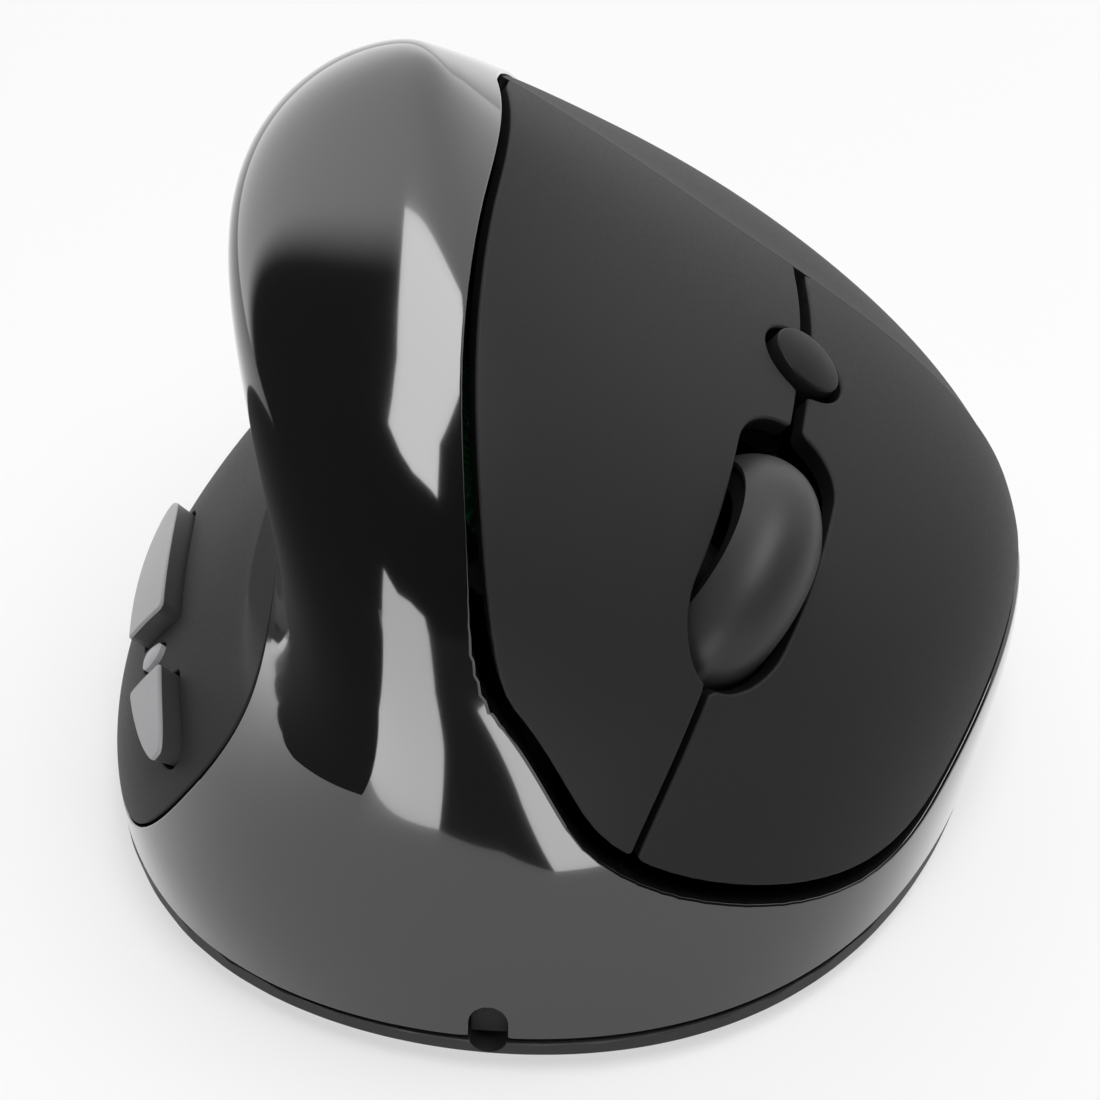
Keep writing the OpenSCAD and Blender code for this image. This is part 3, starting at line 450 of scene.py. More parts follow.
def outlet_outline(d):
    half = OUTLET_W / 2 + d
    return np.concatenate([arc((OUTLET_X, OUTLET_TOP - OUTLET_W / 2), (half, half), 0, 180),
                           [(OUTLET_X - half, 0), (OUTLET_X + half, 0)]])


SEAM_ROUND, GROOVE_ROUND, ROUND_FROM = 0.14, 0.34, 6.0


def shell_edge(p):
    """Edge radius of the shell: crisp along the base, softer at the groove."""
    return SEAM_ROUND + (GROOVE_ROUND - SEAM_ROUND) * np.clip(p[:, 2] / ROUND_FROM - 1, 0, 1)


shell = trimmed_piece(
    "gloss_shell", (0.1, SPANS, 150), (0, GUIDES, 289),
    [(None, SHELL_LOW, False), (FINGER_FRAME, finger_outline(GROOVE), False, "steep"),
     (SIDE_VIEW, thumb_outline(0), False), (FRONT_VIEW, outlet_outline(0), False)],
    rounding=shell_edge, thickness=WALL, materials=(piano_abs(), bare_abs_and_painted_shade))
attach(shell, "body")
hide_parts("main_shell")

# Keys and palm cover
# Two long keys and the fixed cover behind them, moulded in ABS and sprayed with soft-touch paint.
# The keys bend at the crease; a thin slit parts them, with the wheel slot and the button well in it.
PANEL_WALL = 1.8
CREASE_Y, CREASE_MID, CREASE_TOP, CREASE_LOW, CREASE_OVER = 9.6, -23, 6, 4.6, 5
SPLIT_X, SPLIT_BOW, SPLIT_FLAT, SLIT, SLIT_BACK = -11.2, 8.6, -34, 0.8, 1.3
WHEEL_AT, WHEEL_R, TYRE_W, WHEEL_YAW = (-11, -29.3), 12.5, 8.6, math.radians(2)
SLOT_GAP, SLOT_SHIFT, SLOT_END = 1.1, -1.35, 0.3
DPI_AT, DPI_D, DPI_WELL = (-11.4, -8.3), 7.1, 0.75
WIDE = 200


def crease(x):
    """Where the crease crosses the finger side, for each place down the slope."""
    x0, x1 = PANEL_TOP - CREASE_OVER, PANEL_LOW + CREASE_OVER
    return CREASE_Y - np.where(x < CREASE_MID, CREASE_TOP * ((x - CREASE_MID) / (x0 - CREASE_MID)) ** 2,
                               CREASE_LOW * ((x - CREASE_MID) / (x1 - CREASE_MID)) ** 2)


def before_crease(d):
    """The finger side in front of the crease, moved back by d."""
    x = np.linspace(PANEL_TOP - CREASE_OVER, PANEL_LOW + CREASE_OVER, 49)
    return np.concatenate([[(x[-1], -WIDE), (x[0], -WIDE)], np.stack([x, crease(x) + d], 1)])


def above_split(side):
    """The finger side above the middle of the slit, moved by half its width to one side."""
    front, back = side * SLIT / 2, side * SLIT_BACK / 2
    low = PANEL_FRONT - 2
    y = np.linspace(low, SPLIT_FLAT, 25)
    x = SPLIT_X + front + SPLIT_BOW * ((y - SPLIT_FLAT) / (low - SPLIT_FLAT)) ** 3
    steps = [(SPLIT_X + front, WHEEL_AT[1]), (SPLIT_X + back, WHEEL_AT[1]), (SPLIT_X + back, WIDE)]
    return np.concatenate([[(-WIDE, WIDE), (-WIDE, low)], np.stack([x, y], 1), steps])


def wheel_slot():
    half, w = WHEEL_R + SLOT_END, TYRE_W / 2 + SLOT_GAP
    flat = np.concatenate([arc((0, half - w), (w, w), 0, 180), arc((0, w - half), (w, w), 180, 360)])
    flat[:, 1] += SLOT_SHIFT
    c, s = math.cos(WHEEL_YAW), math.sin(WHEEL_YAW)
    return flat @ np.array(((c, s), (-s, c))) + WHEEL_AT


# Soft-touch paint over ABS: a dark, even, rubbery coat. A fine spray grain breaks the light up,
# and a faint sheen lifts it at a glance. The grain is drawn coarser than the real 0.1 mm.
def soft_touch(name, colour):
    return grained(name, colour, (0.45, 2.0), (0.5, 0.64), (0.12, 0.04), (16.67, 3.0, 0.9, 1.1),
                   {"IOR": 1.45, "Sheen Weight": 0.03, "Sheen Roughness": 0.5, "Specular IOR Level": 0.14})


CREASE_GAP, PANEL_INSET = 0.03, 0.25
dpi_hole = arc(DPI_AT, (DPI_D / 2 + DPI_WELL,) * 2, 0, 360, 65)[:-1]
common = [(FINGER_FRAME, finger_outline(0), True), (FINGER_FRAME, before_crease(-CREASE_GAP), True),
          (FINGER_FRAME, wheel_slot(), False), (FINGER_FRAME, dpi_hole, False)]
KEY_ROUND, CREASE_ROUND, CREASE_FADE = 0.28, 0.06, 1.5


def key_edge(p):
    """Edge radius of the keys and the cover: softly rounded, and almost sharp at the crease."""
    off = p[:, 1] - crease(p @ FINGER_FRAME["x"])
    return KEY_ROUND - (KEY_ROUND - CREASE_ROUND) * np.exp(-(off / CREASE_FADE) ** 2)


RIDGE_DIP, RIDGE_START, RIDGE_END = 0.75, 5.0, 22.0


def behind_ridge(p, n):
    """The cover falls away a little behind the crease and swells back, so the crease is a low ridge."""
    t = np.maximum(p[:, 1] - crease(p @ FINGER_FRAME["x"]), 0)
    rise, fade = 1 - np.exp(-t / RIDGE_START), np.exp(-t / RIDGE_END)
    slope = RIDGE_DIP * fade * (np.exp(-t / RIDGE_START) / RIDGE_START - rise / RIDGE_END)
    back = np.array((0.0, 1.0, 0.0)) - n[:, 1:2] * n
    return p - (RIDGE_DIP * rise * fade)[:, None] * n, unit(n + slope[:, None] * back)


# Walls and backs take the bare black ABS: partly bare plastic, partly painted shade in the slit and the wheel
# slot.
skins = {"rounding": key_edge, "thickness": PANEL_WALL,
         "materials": (soft_touch("soft_touch_paint", "#232324"), bare_abs_and_painted_shade)}
for key, side, above in (("upper_key", -1, True), ("lower_key", 1, False)):
    cap = trimmed_piece(key + "_cap", u_cells=(0.8, 8.7, 190), v_cells=(-0.6, 3.4, 261),
                        trims=common + [(FINGER_FRAME, above_split(side), above)], **skins)
    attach(cap, key)
    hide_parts(key)
palm = trimmed_piece("palm_cover_skin", u_cells=(0.8, 8.7, 150), v_cells=(1.2, 4.6, 181),
                     trims=[(FINGER_FRAME, finger_outline(GROOVE - PANEL_INSET), True),
                            (FINGER_FRAME, before_crease(CREASE_GAP), False)], bend=behind_ridge, **skins)
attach(palm, "body")
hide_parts("palm_cover")

# Thumb panel and thumb buttons
# A soft-touch panel lines the thumb scoop, clipped in from inside. Two long buttons of satin grey ABS
# stand out of its hip, with a small light between them, and press straight in.
HIP = math.radians(-53)
HIP_FRAME = plane_frame((math.cos(HIP), 0, -math.sin(HIP)), (0, 1, 0), (math.sin(HIP), 0, math.cos(HIP)),
                        (-36, -20, 15.5))
THUMB_W, STRIP_MID, STRIP_HALF, STRIP_POWER = 4.8, 4.5, 20.5, 2.6
STRIP_LEAN, STRIP_LOW, LENS_AT, LENS_D, LENS_ROOM = 0.14, 0.9, (0, -0.3), 3.0, (5.5, 3.1)
BUTTON_GAP, BUTTON_PROUD, BUTTON_ROUND, BUTTON_WALL = 0.35, 2.0, 0.3, 1.0
STRIP_TRIM, LENS_GAP, THUMB_ROUND = 0.1, 0.2, 0.2


def strip(start, stop, d):
    """Leaf-shaped outline of a thumb button, moved out by d."""
    y = start + (stop - start) * (1 - np.cos(np.linspace(0, math.pi, 33))) / 2
    reach = (np.abs(y - STRIP_MID) / STRIP_HALF) ** STRIP_POWER
    half = THUMB_W / 2 * np.maximum(0, 1 - reach) ** (1 / STRIP_POWER)
    middle = STRIP_LOW - STRIP_LEAN * y
    flat = np.concatenate([np.stack([middle - half, y], 1), np.stack([middle + half, y], 1)[::-1]])
    if d == 0:
        return flat
    ring = arc((0, 0), (d, d), 0, 360, 13)[:-1]
    cloud = [Vector(p) for p in (flat[:, None] + ring[None]).reshape(-1, 2)]
    return np.array([cloud[i][:] for i in convex_hull_2d(cloud)])


front_ends = (STRIP_MID - STRIP_HALF + STRIP_TRIM, LENS_AT[1] - LENS_ROOM[0])
rear_ends = (LENS_AT[1] + LENS_ROOM[1], STRIP_MID + STRIP_HALF - STRIP_TRIM)
lens_hole = arc(LENS_AT, (LENS_D / 2 + LENS_GAP,) * 2, 0, 360, 49)[:-1]
# The panel's walls take the bare black ABS, which paints shade round the button and lens holes.
panel = trimmed_piece("thumb_panel_skin", u_cells=(0.1, 6.2, 150), v_cells=(4.2, 8.2, 241),
                      trims=[(SIDE_VIEW, thumb_outline(-PANEL_INSET), True),
                             (HIP_FRAME, strip(*front_ends, BUTTON_GAP), False),
                             (HIP_FRAME, strip(*rear_ends, BUTTON_GAP), False),
                             (HIP_FRAME, lens_hole, False)],
                      rounding=THUMB_ROUND, thickness=PANEL_WALL,
                      materials=(soft_touch("soft_touch_charcoal", "#29292a"), bare_abs_and_painted_shade))
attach(panel, "body")
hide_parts("thumb_panel")

# The buttons' side walls take a darker grey than their faces: painted shade where the walls face the dark
# panel.
button_abs = satin_abs("satin_grey_abs", "#939395")
button_wall_painted_shade = satin_abs("painted_shade_button_walls", "#3c3c3d", shine=0.3)
for name, ends, body in (("forward_button_cap", front_ends, "forward_button"),
                         ("back_button_cap", rear_ends, "back_button")):
    cap = trimmed_piece(name, trims=[(HIP_FRAME, strip(*ends, 0), True)], rounding=BUTTON_ROUND,
                        thickness=BUTTON_WALL, proud=BUTTON_PROUD, materials=(button_abs, button_wall_painted_shade),
                        u_cells=(0.3, 4.2, 170), v_cells=(5.2, 8.2, 331))
    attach(cap, body)
    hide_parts(body)

# Wheel
# A hub and axle moulded as one in black acetal carry a smooth silicone tyre with round shoulders.
# The wheel leans with the finger side and is turned a little, so it stands out of the slot aslant.
WHEEL_Z, TURNED_SHARP = 34.9, math.radians(32)


def mended(mesh, merge=0.0, outward=True):
    """Merges a mesh's doubled points, closes its holes and turns its faces outward."""
    bm = bmesh.new()
    bm.from_mesh(mesh)
    if merge:
        bmesh.ops.remove_doubles(bm, verts=bm.verts, dist=merge)
    if outward:
        bmesh.ops.holes_fill(bm, edges=[e for e in bm.edges if e.is_boundary])
        bmesh.ops.recalc_face_normals(bm, faces=bm.faces)
    bm.to_mesh(mesh)
    bm.free()
    return mesh


def turned_piece(name, profile, centre, axis, side, count=128):
    """A closed profile of (radius, height) points spun round an axis, in millimetres."""
    axis, side = Vector(axis).normalized(), Vector(side).normalized()
    third = axis.cross(side)
    rings, n = [], len(profile)
    for k in range(count):
        a = 2 * math.pi * k / count
        spoke = side * math.cos(a) + third * math.sin(a)
        rings += [tuple((Vector(centre) + spoke * r + axis * h) * MM) for r, h in profile]
    faces = [[k * n + i, ((k + 1) % count) * n + i, ((k + 1) % count) * n + (i + 1) % n, k * n + (i + 1) % n]
             for k in range(count) for i in range(n)]
    mesh = bpy.data.meshes.new(name)
    mesh.from_pydata(rings, [], faces)
    mended(mesh, merge=1e-7).shade_smooth()
    mesh.set_sharp_from_angle(angle=TURNED_SHARP)
    return new_piece(name, mesh)


finger_x, finger_z = FINGER_FRAME["x"], FINGER_FRAME["z"]
wheel_centre = WHEEL_AT[0] * finger_x + np.array((0, WHEEL_AT[1], 0)) + WHEEL_Z * finger_z
wheel_axis = math.cos(WHEEL_YAW) * finger_x + math.sin(WHEEL_YAW) * np.array((0, 1, 0))
HUB_R, TYRE_DROP, TYRE_ROUND, TYRE_INSET, TYRE_FIT = WHEEL_R - 3, 2.6, 2.2, 0.2, 0.02
half = TYRE_W / 2
tread = [(WHEEL_R - TYRE_DROP * abs(k) ** TYRE_ROUND, k * half) for k in np.linspace(-1, 1, 41)]
bore = [(HUB_R + TYRE_FIT, k * (half - TYRE_INSET)) for k in (1, -1)]

# Silicone rubber: smooth, mid grey-black, dull but with a broad soft highlight and slight dust.
silicone = grained("silicone_rubber", "#2c2c2d", (0.667, 3.0), (0.36, 0.5), (0.08, 0.05),
                   (5.556, 2.0, 0.9, 1.12), {"IOR": 1.43, "Specular IOR Level": 0.3})
tyre = turned_piece("wheel_tyre_skin", bore + tread, wheel_centre, wheel_axis, finger_z)
tyre.data.materials.append(silicone)
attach(tyre, "wheel")
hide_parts("wheel_tyre")

# Speed button
# A small round button of dark satin ABS in a well between the keys. Its face is a low dome with a
# narrow rounded edge, and it slides straight down in a guide under the keys.
DPI_TOP, DPI_LOW = 47.4, 42.6
DPI_EDGE, DPI_TURN, DPI_DOME = 0.3, math.radians(76), 0.4
face, top = DPI_D / 2 - DPI_EDGE, DPI_TOP - DPI_DOME
stem = [(0, DPI_LOW), (DPI_D / 2, DPI_LOW)]
edge = [(face + DPI_EDGE * math.cos(a), top - DPI_EDGE + DPI_EDGE * math.sin(a))
        for a in np.linspace(0, DPI_TURN, 7)]
dome = [(face * k, top + DPI_DOME * (1 - k * k)) for k in np.linspace(1, 0, 11)[1:]]
dpi_centre = DPI_AT[0] * finger_x + np.array((0, DPI_AT[1], 0))
dpi = turned_piece("speed_button_cap", stem + edge + dome, dpi_centre, finger_z, finger_x, 96)
dpi.data.materials.append(satin_abs("satin_black_abs", "#131314", 0.38, 0.48, shine=0.12))
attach(dpi, "dpi_button")
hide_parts("dpi_button")

# Status light
# A small frosted polycarbonate lens between the thumb buttons, pressed into the panel from inside.
# Its face is a low dome that stands a little proud.
LENS_TOP, LENS_RISE, LENS_LOW, LENS_FIT, LENS_FACE = 0.75, 0.45, -2.2, 0.1, 0.94
r = LENS_D / 2 - LENS_FIT
stem = [(0, LENS_LOW), (r, LENS_LOW), (r, LENS_TOP - LENS_RISE)]
dome = [(r * k, LENS_TOP - LENS_RISE * k * k) for k in np.linspace(LENS_FACE, 0, 9)]

# Frosted polycarbonate: milky white, light goes in and spreads, and the blasted face has no sharp glint.
frosted = grained("frosted_polycarbonate", "#b4b4b7", (0.4, 2.0), (0.4, 0.55), (0.1, 0.03), None,
                  {"IOR": 1.58, "Transmission Weight": 0.15})
lens_centre = HIP_FRAME["at"] + LENS_AT[0] * HIP_FRAME["x"] + LENS_AT[1] * HIP_FRAME["y"]
lens = turned_piece("status_lens_dome", stem + dome, lens_centre, HIP_FRAME["z"], HIP_FRAME["x"], 64)
lens.data.materials.append(frosted)
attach(lens, "body")
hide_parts("status_lens")

# Base
# The bottom cover is a moulded ABS tray that carries the cell and the boards and closes the body with
# a thin seam. Its edge is bevelled back underneath, so only a narrow rim shows below the gloss.
BASE_LIFT, RIM_STEPS, RIM_STEP, BASE_SHARP = 0.7, 360, 0.02, math.radians(18)
# Heights, and distances from the body's outline: under the bevel, up the rim, and in behind the shell.
RIM_ROWS = ((-1, -3.7), (BASE_LIFT, -2.3), (1.75, -0.25), (1.9, -0.08), (2.02, -0.03), (2.98, -0.03),
            (3.08, -0.12), (3.4, -1.3), (45, -1.3))
NOTCH_DROP, NOTCH_FRONT, NOTCH_BACK = 1.2, -58, -50.5


def rim(v, d):
    """Points on the body's lower outline, moved out by d, and the outline's direction there."""
    v = np.asarray(v, float)
    along = (body_point(0 * v, (v + RIM_STEP) % GUIDES) - body_point(0 * v, (v - RIM_STEP) % GUIDES))[:, :2]
    along /= np.linalg.norm(along, axis=1)[:, None]
    out = np.stack([along[:, 1], -along[:, 0]], 1)
    return body_point(0 * v, v % GUIDES)[:, :2] + d * out, np.arctan2(along[:, 1], along[:, 0])


def lofted(name, rings):
    """A closed solid through rings of points, in millimetres."""
    count = len(rings[0])
    faces = [[k + i, k + (i + 1) % count, k + count + (i + 1) % count, k + count + i]
             for k in range(0, (len(rings) - 1) * count, count) for i in range(count)]
    faces += [list(range(count))[::-1], [(len(rings) - 1) * count + i for i in range(count)]]
    mesh = bpy.data.meshes.new(name)
    mesh.from_pydata([tuple(np.asarray(p) * MM) for ring in rings for p in ring], [], faces)
    return new_piece(name, mended(mesh))


def plain_mesh(piece):
    """The mesh that a piece's modifiers give, with the modifiers taken off."""
    bpy.context.view_layer.update()
    mesh = bpy.data.meshes.new_from_object(piece.evaluated_get(bpy.context.evaluated_depsgraph_get()))
    piece.modifiers.clear()
    return mesh


def cut_copy(name, node, cuts):
    """A merged copy of a CAD node, cut by other solids, with its crisp edges kept."""
    piece = new_piece(name, mended(nodes[node].data.copy(), merge=1e-6, outward=False))
    for tool, operation in cuts:
        step = piece.modifiers.new(tool.name, "BOOLEAN")
        step.operation, step.solver, step.object = operation, "EXACT", tool
    piece.data = plain_mesh(piece)
    stale = piece.data.attributes.get("custom_normal")
    if stale:
        piece.data.attributes.remove(stale)
    piece.data.materials.clear()
    piece.data.shade_smooth()
    piece.data.set_sharp_from_angle(angle=BASE_SHARP)
    return piece


stations = np.arange(RIM_STEPS) * GUIDES / RIM_STEPS
outline = lofted("rim_outline", [np.column_stack([rim(stations, d)[0], np.full(RIM_STEPS, z)])
                                 for z, d in RIM_ROWS])
notch_r = OUTLET_W / 2
notch_ring = arc((OUTLET_X, OUTLET_TOP - notch_r - NOTCH_DROP), (notch_r, notch_r), 0, 360, 49)[:-1]
notch = lofted("rim_notch", [[(x, y, z) for x, z in notch_ring] for y in (NOTCH_FRONT, NOTCH_BACK)])
base_abs = satin_abs("grained_black_abs", "#1c1c1d", 0.42, 0.55, 0.4, 0.4)
base = cut_copy("base_tray", "bottom_cover", [(outline, "INTERSECT"), (notch, "DIFFERENCE")])
base.data.materials.append(base_abs)
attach(base, "body")
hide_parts("bottom_cover")

# Battery door
# A thin ABS lid over the cell, held by rails in the base, that slides off to the back. Moulded ribs
# across it give the thumb a grip.
RIB_COUNT, RIB_PITCH, RIB_LENGTH, RIB_R, RIB_AT, RIB_SUNK = 7, 1.8, 11.0, 0.32, (-6.0, 22.0), 0.05
SMALL_SHARP = math.radians(35)
door = cut_copy("battery_door_lid", "battery_door", [(outline, "INTERSECT")])
door.data.materials.append(base_abs)
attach(door, "battery_door")
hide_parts("battery_door")
for tool in (outline, notch):
    bpy.data.objects.remove(tool)


def start_tree(name, sizes):
    """A geometry tree with a named input for each size, and one for the material."""
    tree = bpy.data.node_groups.new(name, "GeometryNodeTree")
    inputs = [("Geometry", "Geometry")] + [(label, "Float") for label in sizes] + [("Material", "Material")]
    for label, kind in inputs:
        tree.interface.new_socket(label, in_out="INPUT", socket_type="NodeSocket" + kind)
    tree.interface.new_socket("Geometry", in_out="OUTPUT", socket_type="NodeSocketGeometry")
    return tree, add(tree, "NodeGroupInput").outputs


def finish_tree(tree, size, shape):
    """Puts a shape face down on each place, turned by the place's own angle."""
    turn = add(tree, "GeometryNodeInputNamedAttribute", {"data_type": "FLOAT", "Name": "turn"})
    facing = add(tree, "ShaderNodeCombineXYZ", {"X": math.pi}, Z=turn.outputs[0])
    placed = add(tree, "GeometryNodeInstanceOnPoints", Points=size["Geometry"], Instance=shape.outputs[0],
                 Rotation=facing.outputs[0])
    real = add(tree, "GeometryNodeRealizeInstances", Geometry=placed.outputs[0])
    painted = add(tree, "GeometryNodeSetMaterial", Geometry=real.outputs[0], Material=size["Material"])
    add(tree, "NodeGroupOutput", Geometry=painted.outputs[0])


def grown_piece(name, tree, places, sizes, material):
    """The plain mesh that a tree grows on places of (x, y, z, turn), with its sizes in millimetres."""
    seeds = bpy.data.meshes.new(name)
    seeds.from_pydata([tuple(c * MM for c in place[:3]) for place in places], [], [])
    turn = seeds.attributes.new("turn", "FLOAT", "POINT")
    turn.data.foreach_set("value", [float(place[3]) for place in places])
    piece = new_piece(name, seeds)
    grow = piece.modifiers.new(tree.name, "NODES")
    grow.node_group = tree
    values = {"Material": material, **{label: size * MM for label, size in sizes.items()}}
    for item in tree.interface.items_tree:
        if item.in_out == "INPUT" and item.name in values:
            grow[item.identifier] = values[item.name]
    piece.data = plain_mesh(piece)
    piece.data.shade_smooth()
    piece.data.set_sharp_from_angle(angle=SMALL_SHARP)
    return piece


tree, size = start_tree("grip_ribs", ("Length", "Radius"))
bar = add(tree, "GeometryNodeMeshCylinder", {"Vertices": 20}, Radius=size["Radius"], Depth=size["Length"])
across = add(tree, "GeometryNodeTransform", {"Rotation": (0, math.pi / 2, 0)}, Geometry=bar.outputs["Mesh"])
finish_tree(tree, size, across)
rib_spots = [(RIB_AT[0], RIB_AT[1] + k * RIB_PITCH, BASE_LIFT + RIB_SUNK, 0) for k in range(RIB_COUNT)]
ribs = grown_piece("door_grip_ribs", tree, rib_spots, {"Length": RIB_LENGTH, "Radius": RIB_R}, base_abs)
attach(ribs, "battery_door")

# Glide feet
# Five stadium-shaped pads of skived PTFE, glued into shallow pockets around the base. Their lower edge
# is rounded over, so they don't scratch the desk.
FOOT_AT, FOOT_IN, FOOT_L, FOOT_W, FOOT_T = (0, 1.7, 3.15, 5.45, 6.35), -7, 22.0, 7.0, 0.9
FOOT_END, FOOT_SIDE, FOOT_FACE = 0.499, 0.75, 0.965

# Skived PTFE: dull grey with a waxy sheen and fine knife scores, drawn coarser than the real ones.
skived_ptfe = grained("skived_ptfe", "#555558", (1.111, 3.0), (0.3, 0.5), (0.1, 0.04), None, {"IOR": 1.38})
tree, size = start_tree("glide_feet", ("Length", "Width", "Thickness"))
sheet = add(tree, "GeometryNodeCurvePrimitiveQuadrilateral", Width=size["Length"], Height=size["Width"])
radius, side, edge = (
    add(tree, "ShaderNodeMath", {"operation": "MULTIPLY", 1: share}, i0=size[label]).outputs[0]
    for share, label in ((FOOT_END, "Width"), (FOOT_SIDE, "Thickness"), (1 - FOOT_SIDE, "Thickness")))
round_end = add(tree, "GeometryNodeFilletCurve", {"mode": "POLY", "Count": 10}, Curve=sheet.outputs[0],
                Radius=radius)
blank = add(tree, "GeometryNodeFillCurve", {"mode": "NGONS"}, Curve=round_end.outputs[0])
wall = add(tree, "GeometryNodeExtrudeMesh", {"Individual": False}, Mesh=blank.outputs[0], Offset_Scale=side)
lip = add(tree, "GeometryNodeExtrudeMesh", {"Individual": False}, Mesh=wall.outputs["Mesh"],
          Selection=wall.outputs["Top"], Offset_Scale=edge)
over = add(tree, "GeometryNodeScaleElements", {"Scale": FOOT_FACE}, Geometry=lip.outputs["Mesh"],
           Selection=lip.outputs["Top"])
finish_tree(tree, size, over)
spots, turns = rim(FOOT_AT, FOOT_IN)
feet = grown_piece("glide_pads", tree, [(x, y, FOOT_T, a) for (x, y), a in zip(spots, turns)],
                   {"Length": FOOT_L, "Width": FOOT_W, "Thickness": FOOT_T}, skived_ptfe)
mended(feet.data)
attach(feet, "body")
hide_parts("glide_feet")

# Screws
# Plated steel self-tapping screws with cross-recessed pan heads, sunk in the base. Four hold the shell
# and four the inner frame.
HEAD_R, HEAD_H, SCREW_Z, SHANK_R = 2.2, 1.4, 1.0, 1.1
CROWN, CROSS_LONG, CROSS_THIN, FIRST_TURN, NEXT_TURN = 0.8, 1.15, 0.3, 0.4, 1.1
SHELL_SCREWS, SHELL_IN = (0.6, 2.55, 4.95, 7.1), -4.5
FRAME_SCREWS, FRAME_PLATE = ((-26, -34), (-26, -20), (7, -27), (7, -1)), 27.4


# Zinc-plated steel: bright grey metal with a slight drawn haze and fine handling marks.
def plated_steel(name="zinc_plated_steel", colour="#b9b9bb", low=0.22, high=0.38):
    return grained(name, colour, (0.714, 3.0), (low, high), (0.06, 0.03), None, {"Metallic": 1.0})


tree, size = start_tree("pan_screws", ("Head Radius", "Head Height", "Shank Radius", "Shank Length"))
crown = add(tree, "ShaderNodeMath", {"operation": "MULTIPLY", 1: CROWN}, i0=size["Head Radius"])
head = add(tree, "GeometryNodeMeshCone", {"Vertices": 40}, Radius_Top=crown.outputs[0],
           Radius_Bottom=size["Head Radius"], Depth=size["Head Height"])
cross = add(tree, "GeometryNodeMeshBoolean", {"operation": "DIFFERENCE", "solver": "EXACT"},
            Mesh_1=head.outputs["Mesh"])
lift = add(tree, "ShaderNodeCombineXYZ", Z=size["Head Height"])
for factors in ((CROSS_LONG, CROSS_THIN), (CROSS_THIN, CROSS_LONG)):
    span = add(tree, "ShaderNodeCombineXYZ", Z=size["Head Height"])
    for axis, factor in enumerate(factors):
        part = add(tree, "ShaderNodeMath", {"operation": "MULTIPLY", 1: factor}, i0=size["Head Radius"])
        tree.links.new(part.outputs[0], span.inputs[axis])
    block = add(tree, "GeometryNodeMeshCube", Size=span.outputs[0])
    blade = add(tree, "GeometryNodeTransform", Geometry=block.outputs["Mesh"], Translation=lift.outputs[0])
    tree.links.new(blade.outputs[0], cross.inputs["Mesh 2"])
shank = add(tree, "GeometryNodeMeshCylinder", {"Vertices": 24}, Radius=size["Shank Radius"],
            Depth=size["Shank Length"])
half = add(tree, "ShaderNodeMath", {"operation": "MULTIPLY", 1: -0.5}, i0=size["Shank Length"])
down = add(tree, "ShaderNodeCombineXYZ", Z=half.outputs[0])
below = add(tree, "GeometryNodeTransform", Geometry=shank.outputs["Mesh"], Translation=down.outputs[0])
whole = add(tree, "GeometryNodeJoinGeometry", Geometry=cross.outputs[0])
tree.links.new(below.outputs[0], whole.inputs[0])
finish_tree(tree, size, whole)
shell_spots = rim(SHELL_SCREWS, SHELL_IN)[0]
frame_spots = [(x * math.cos(TILT) + FRAME_PLATE * math.sin(TILT), y) for x, y in FRAME_SCREWS]
screw_steel = plated_steel()
for name, node, spots in (("shell_screw_set", "shell_screws", shell_spots),
                          ("frame_screw_set", "frame_screws", frame_spots)):
    seat = SCREW_Z + HEAD_H
    places = [(x, y, seat, FIRST_TURN + NEXT_TURN * k) for k, (x, y) in enumerate(spots)]
    screws = grown_piece(name, tree, places,
                         {"Head Radius": HEAD_R, "Head Height": HEAD_H, "Shank Radius": SHANK_R,
                          "Shank Length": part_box(node)[1].z / MM - seat}, screw_steel)
    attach(screws, "body")
    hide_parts(node)

# Receiver
# The plug-in radio receiver sits in a well in the base: a small moulded ABS grip on a plug shell of
# folded steel. It is pulled straight out.
RECEIVER_AT, GRIP, GRIP_Z, GRIP_ROUND = (-15, -24), (14, 6), (1.0, 6.0), 0.6
PLUG, PLUG_SUNK, PLUG_ROUND = (12, 4.5), 0.5, 0.25


def boxed_piece(name, boxes, materials):
    """Rounded boxes of (low, high, radius, material index), in millimetres, as one piece."""
    bm = bmesh.new()
    for low, high, radius, index in boxes:
        before = set(bm.faces)
        cube = bmesh.ops.create_cube(bm, size=1.0)["verts"]
        for v in cube:
            v.co = Vector([(high[k] if v.co[k] > 0 else low[k]) * MM for k in range(3)])
        edges = list({e for v in cube for e in v.link_edges})
        bmesh.ops.bevel(bm, geom=edges, offset=radius * MM, segments=4, profile=0.5, affect="EDGES")
        for face in set(bm.faces) - before:
            face.material_index, face.smooth = index, True
    mesh = bpy.data.meshes.new(name)
    bm.to_mesh(mesh)
    bm.free()
    mesh.set_sharp_from_angle(angle=SMALL_SHARP)
    for material in materials:
        mesh.materials.append(material)
    return new_piece(name, mesh)


x, y = RECEIVER_AT
receiver = boxed_piece("receiver_plug", [
    ((x - GRIP[0] / 2, y - GRIP[1] / 2, GRIP_Z[0]), (x + GRIP[0] / 2, y + GRIP[1] / 2, GRIP_Z[1]),
     GRIP_ROUND, 0),
    ((x - PLUG[0] / 2, y - PLUG[1] / 2, GRIP_Z[1] - PLUG_SUNK),
     (x + PLUG[0] / 2, y + PLUG[1] / 2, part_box("usb_receiver")[1].z / MM), PLUG_ROUND, 1)],
    (satin_abs("satin_receiver_abs", "#262627", 0.35, 0.48), screw_steel))
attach(receiver, "usb_receiver")
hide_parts("usb_receiver")

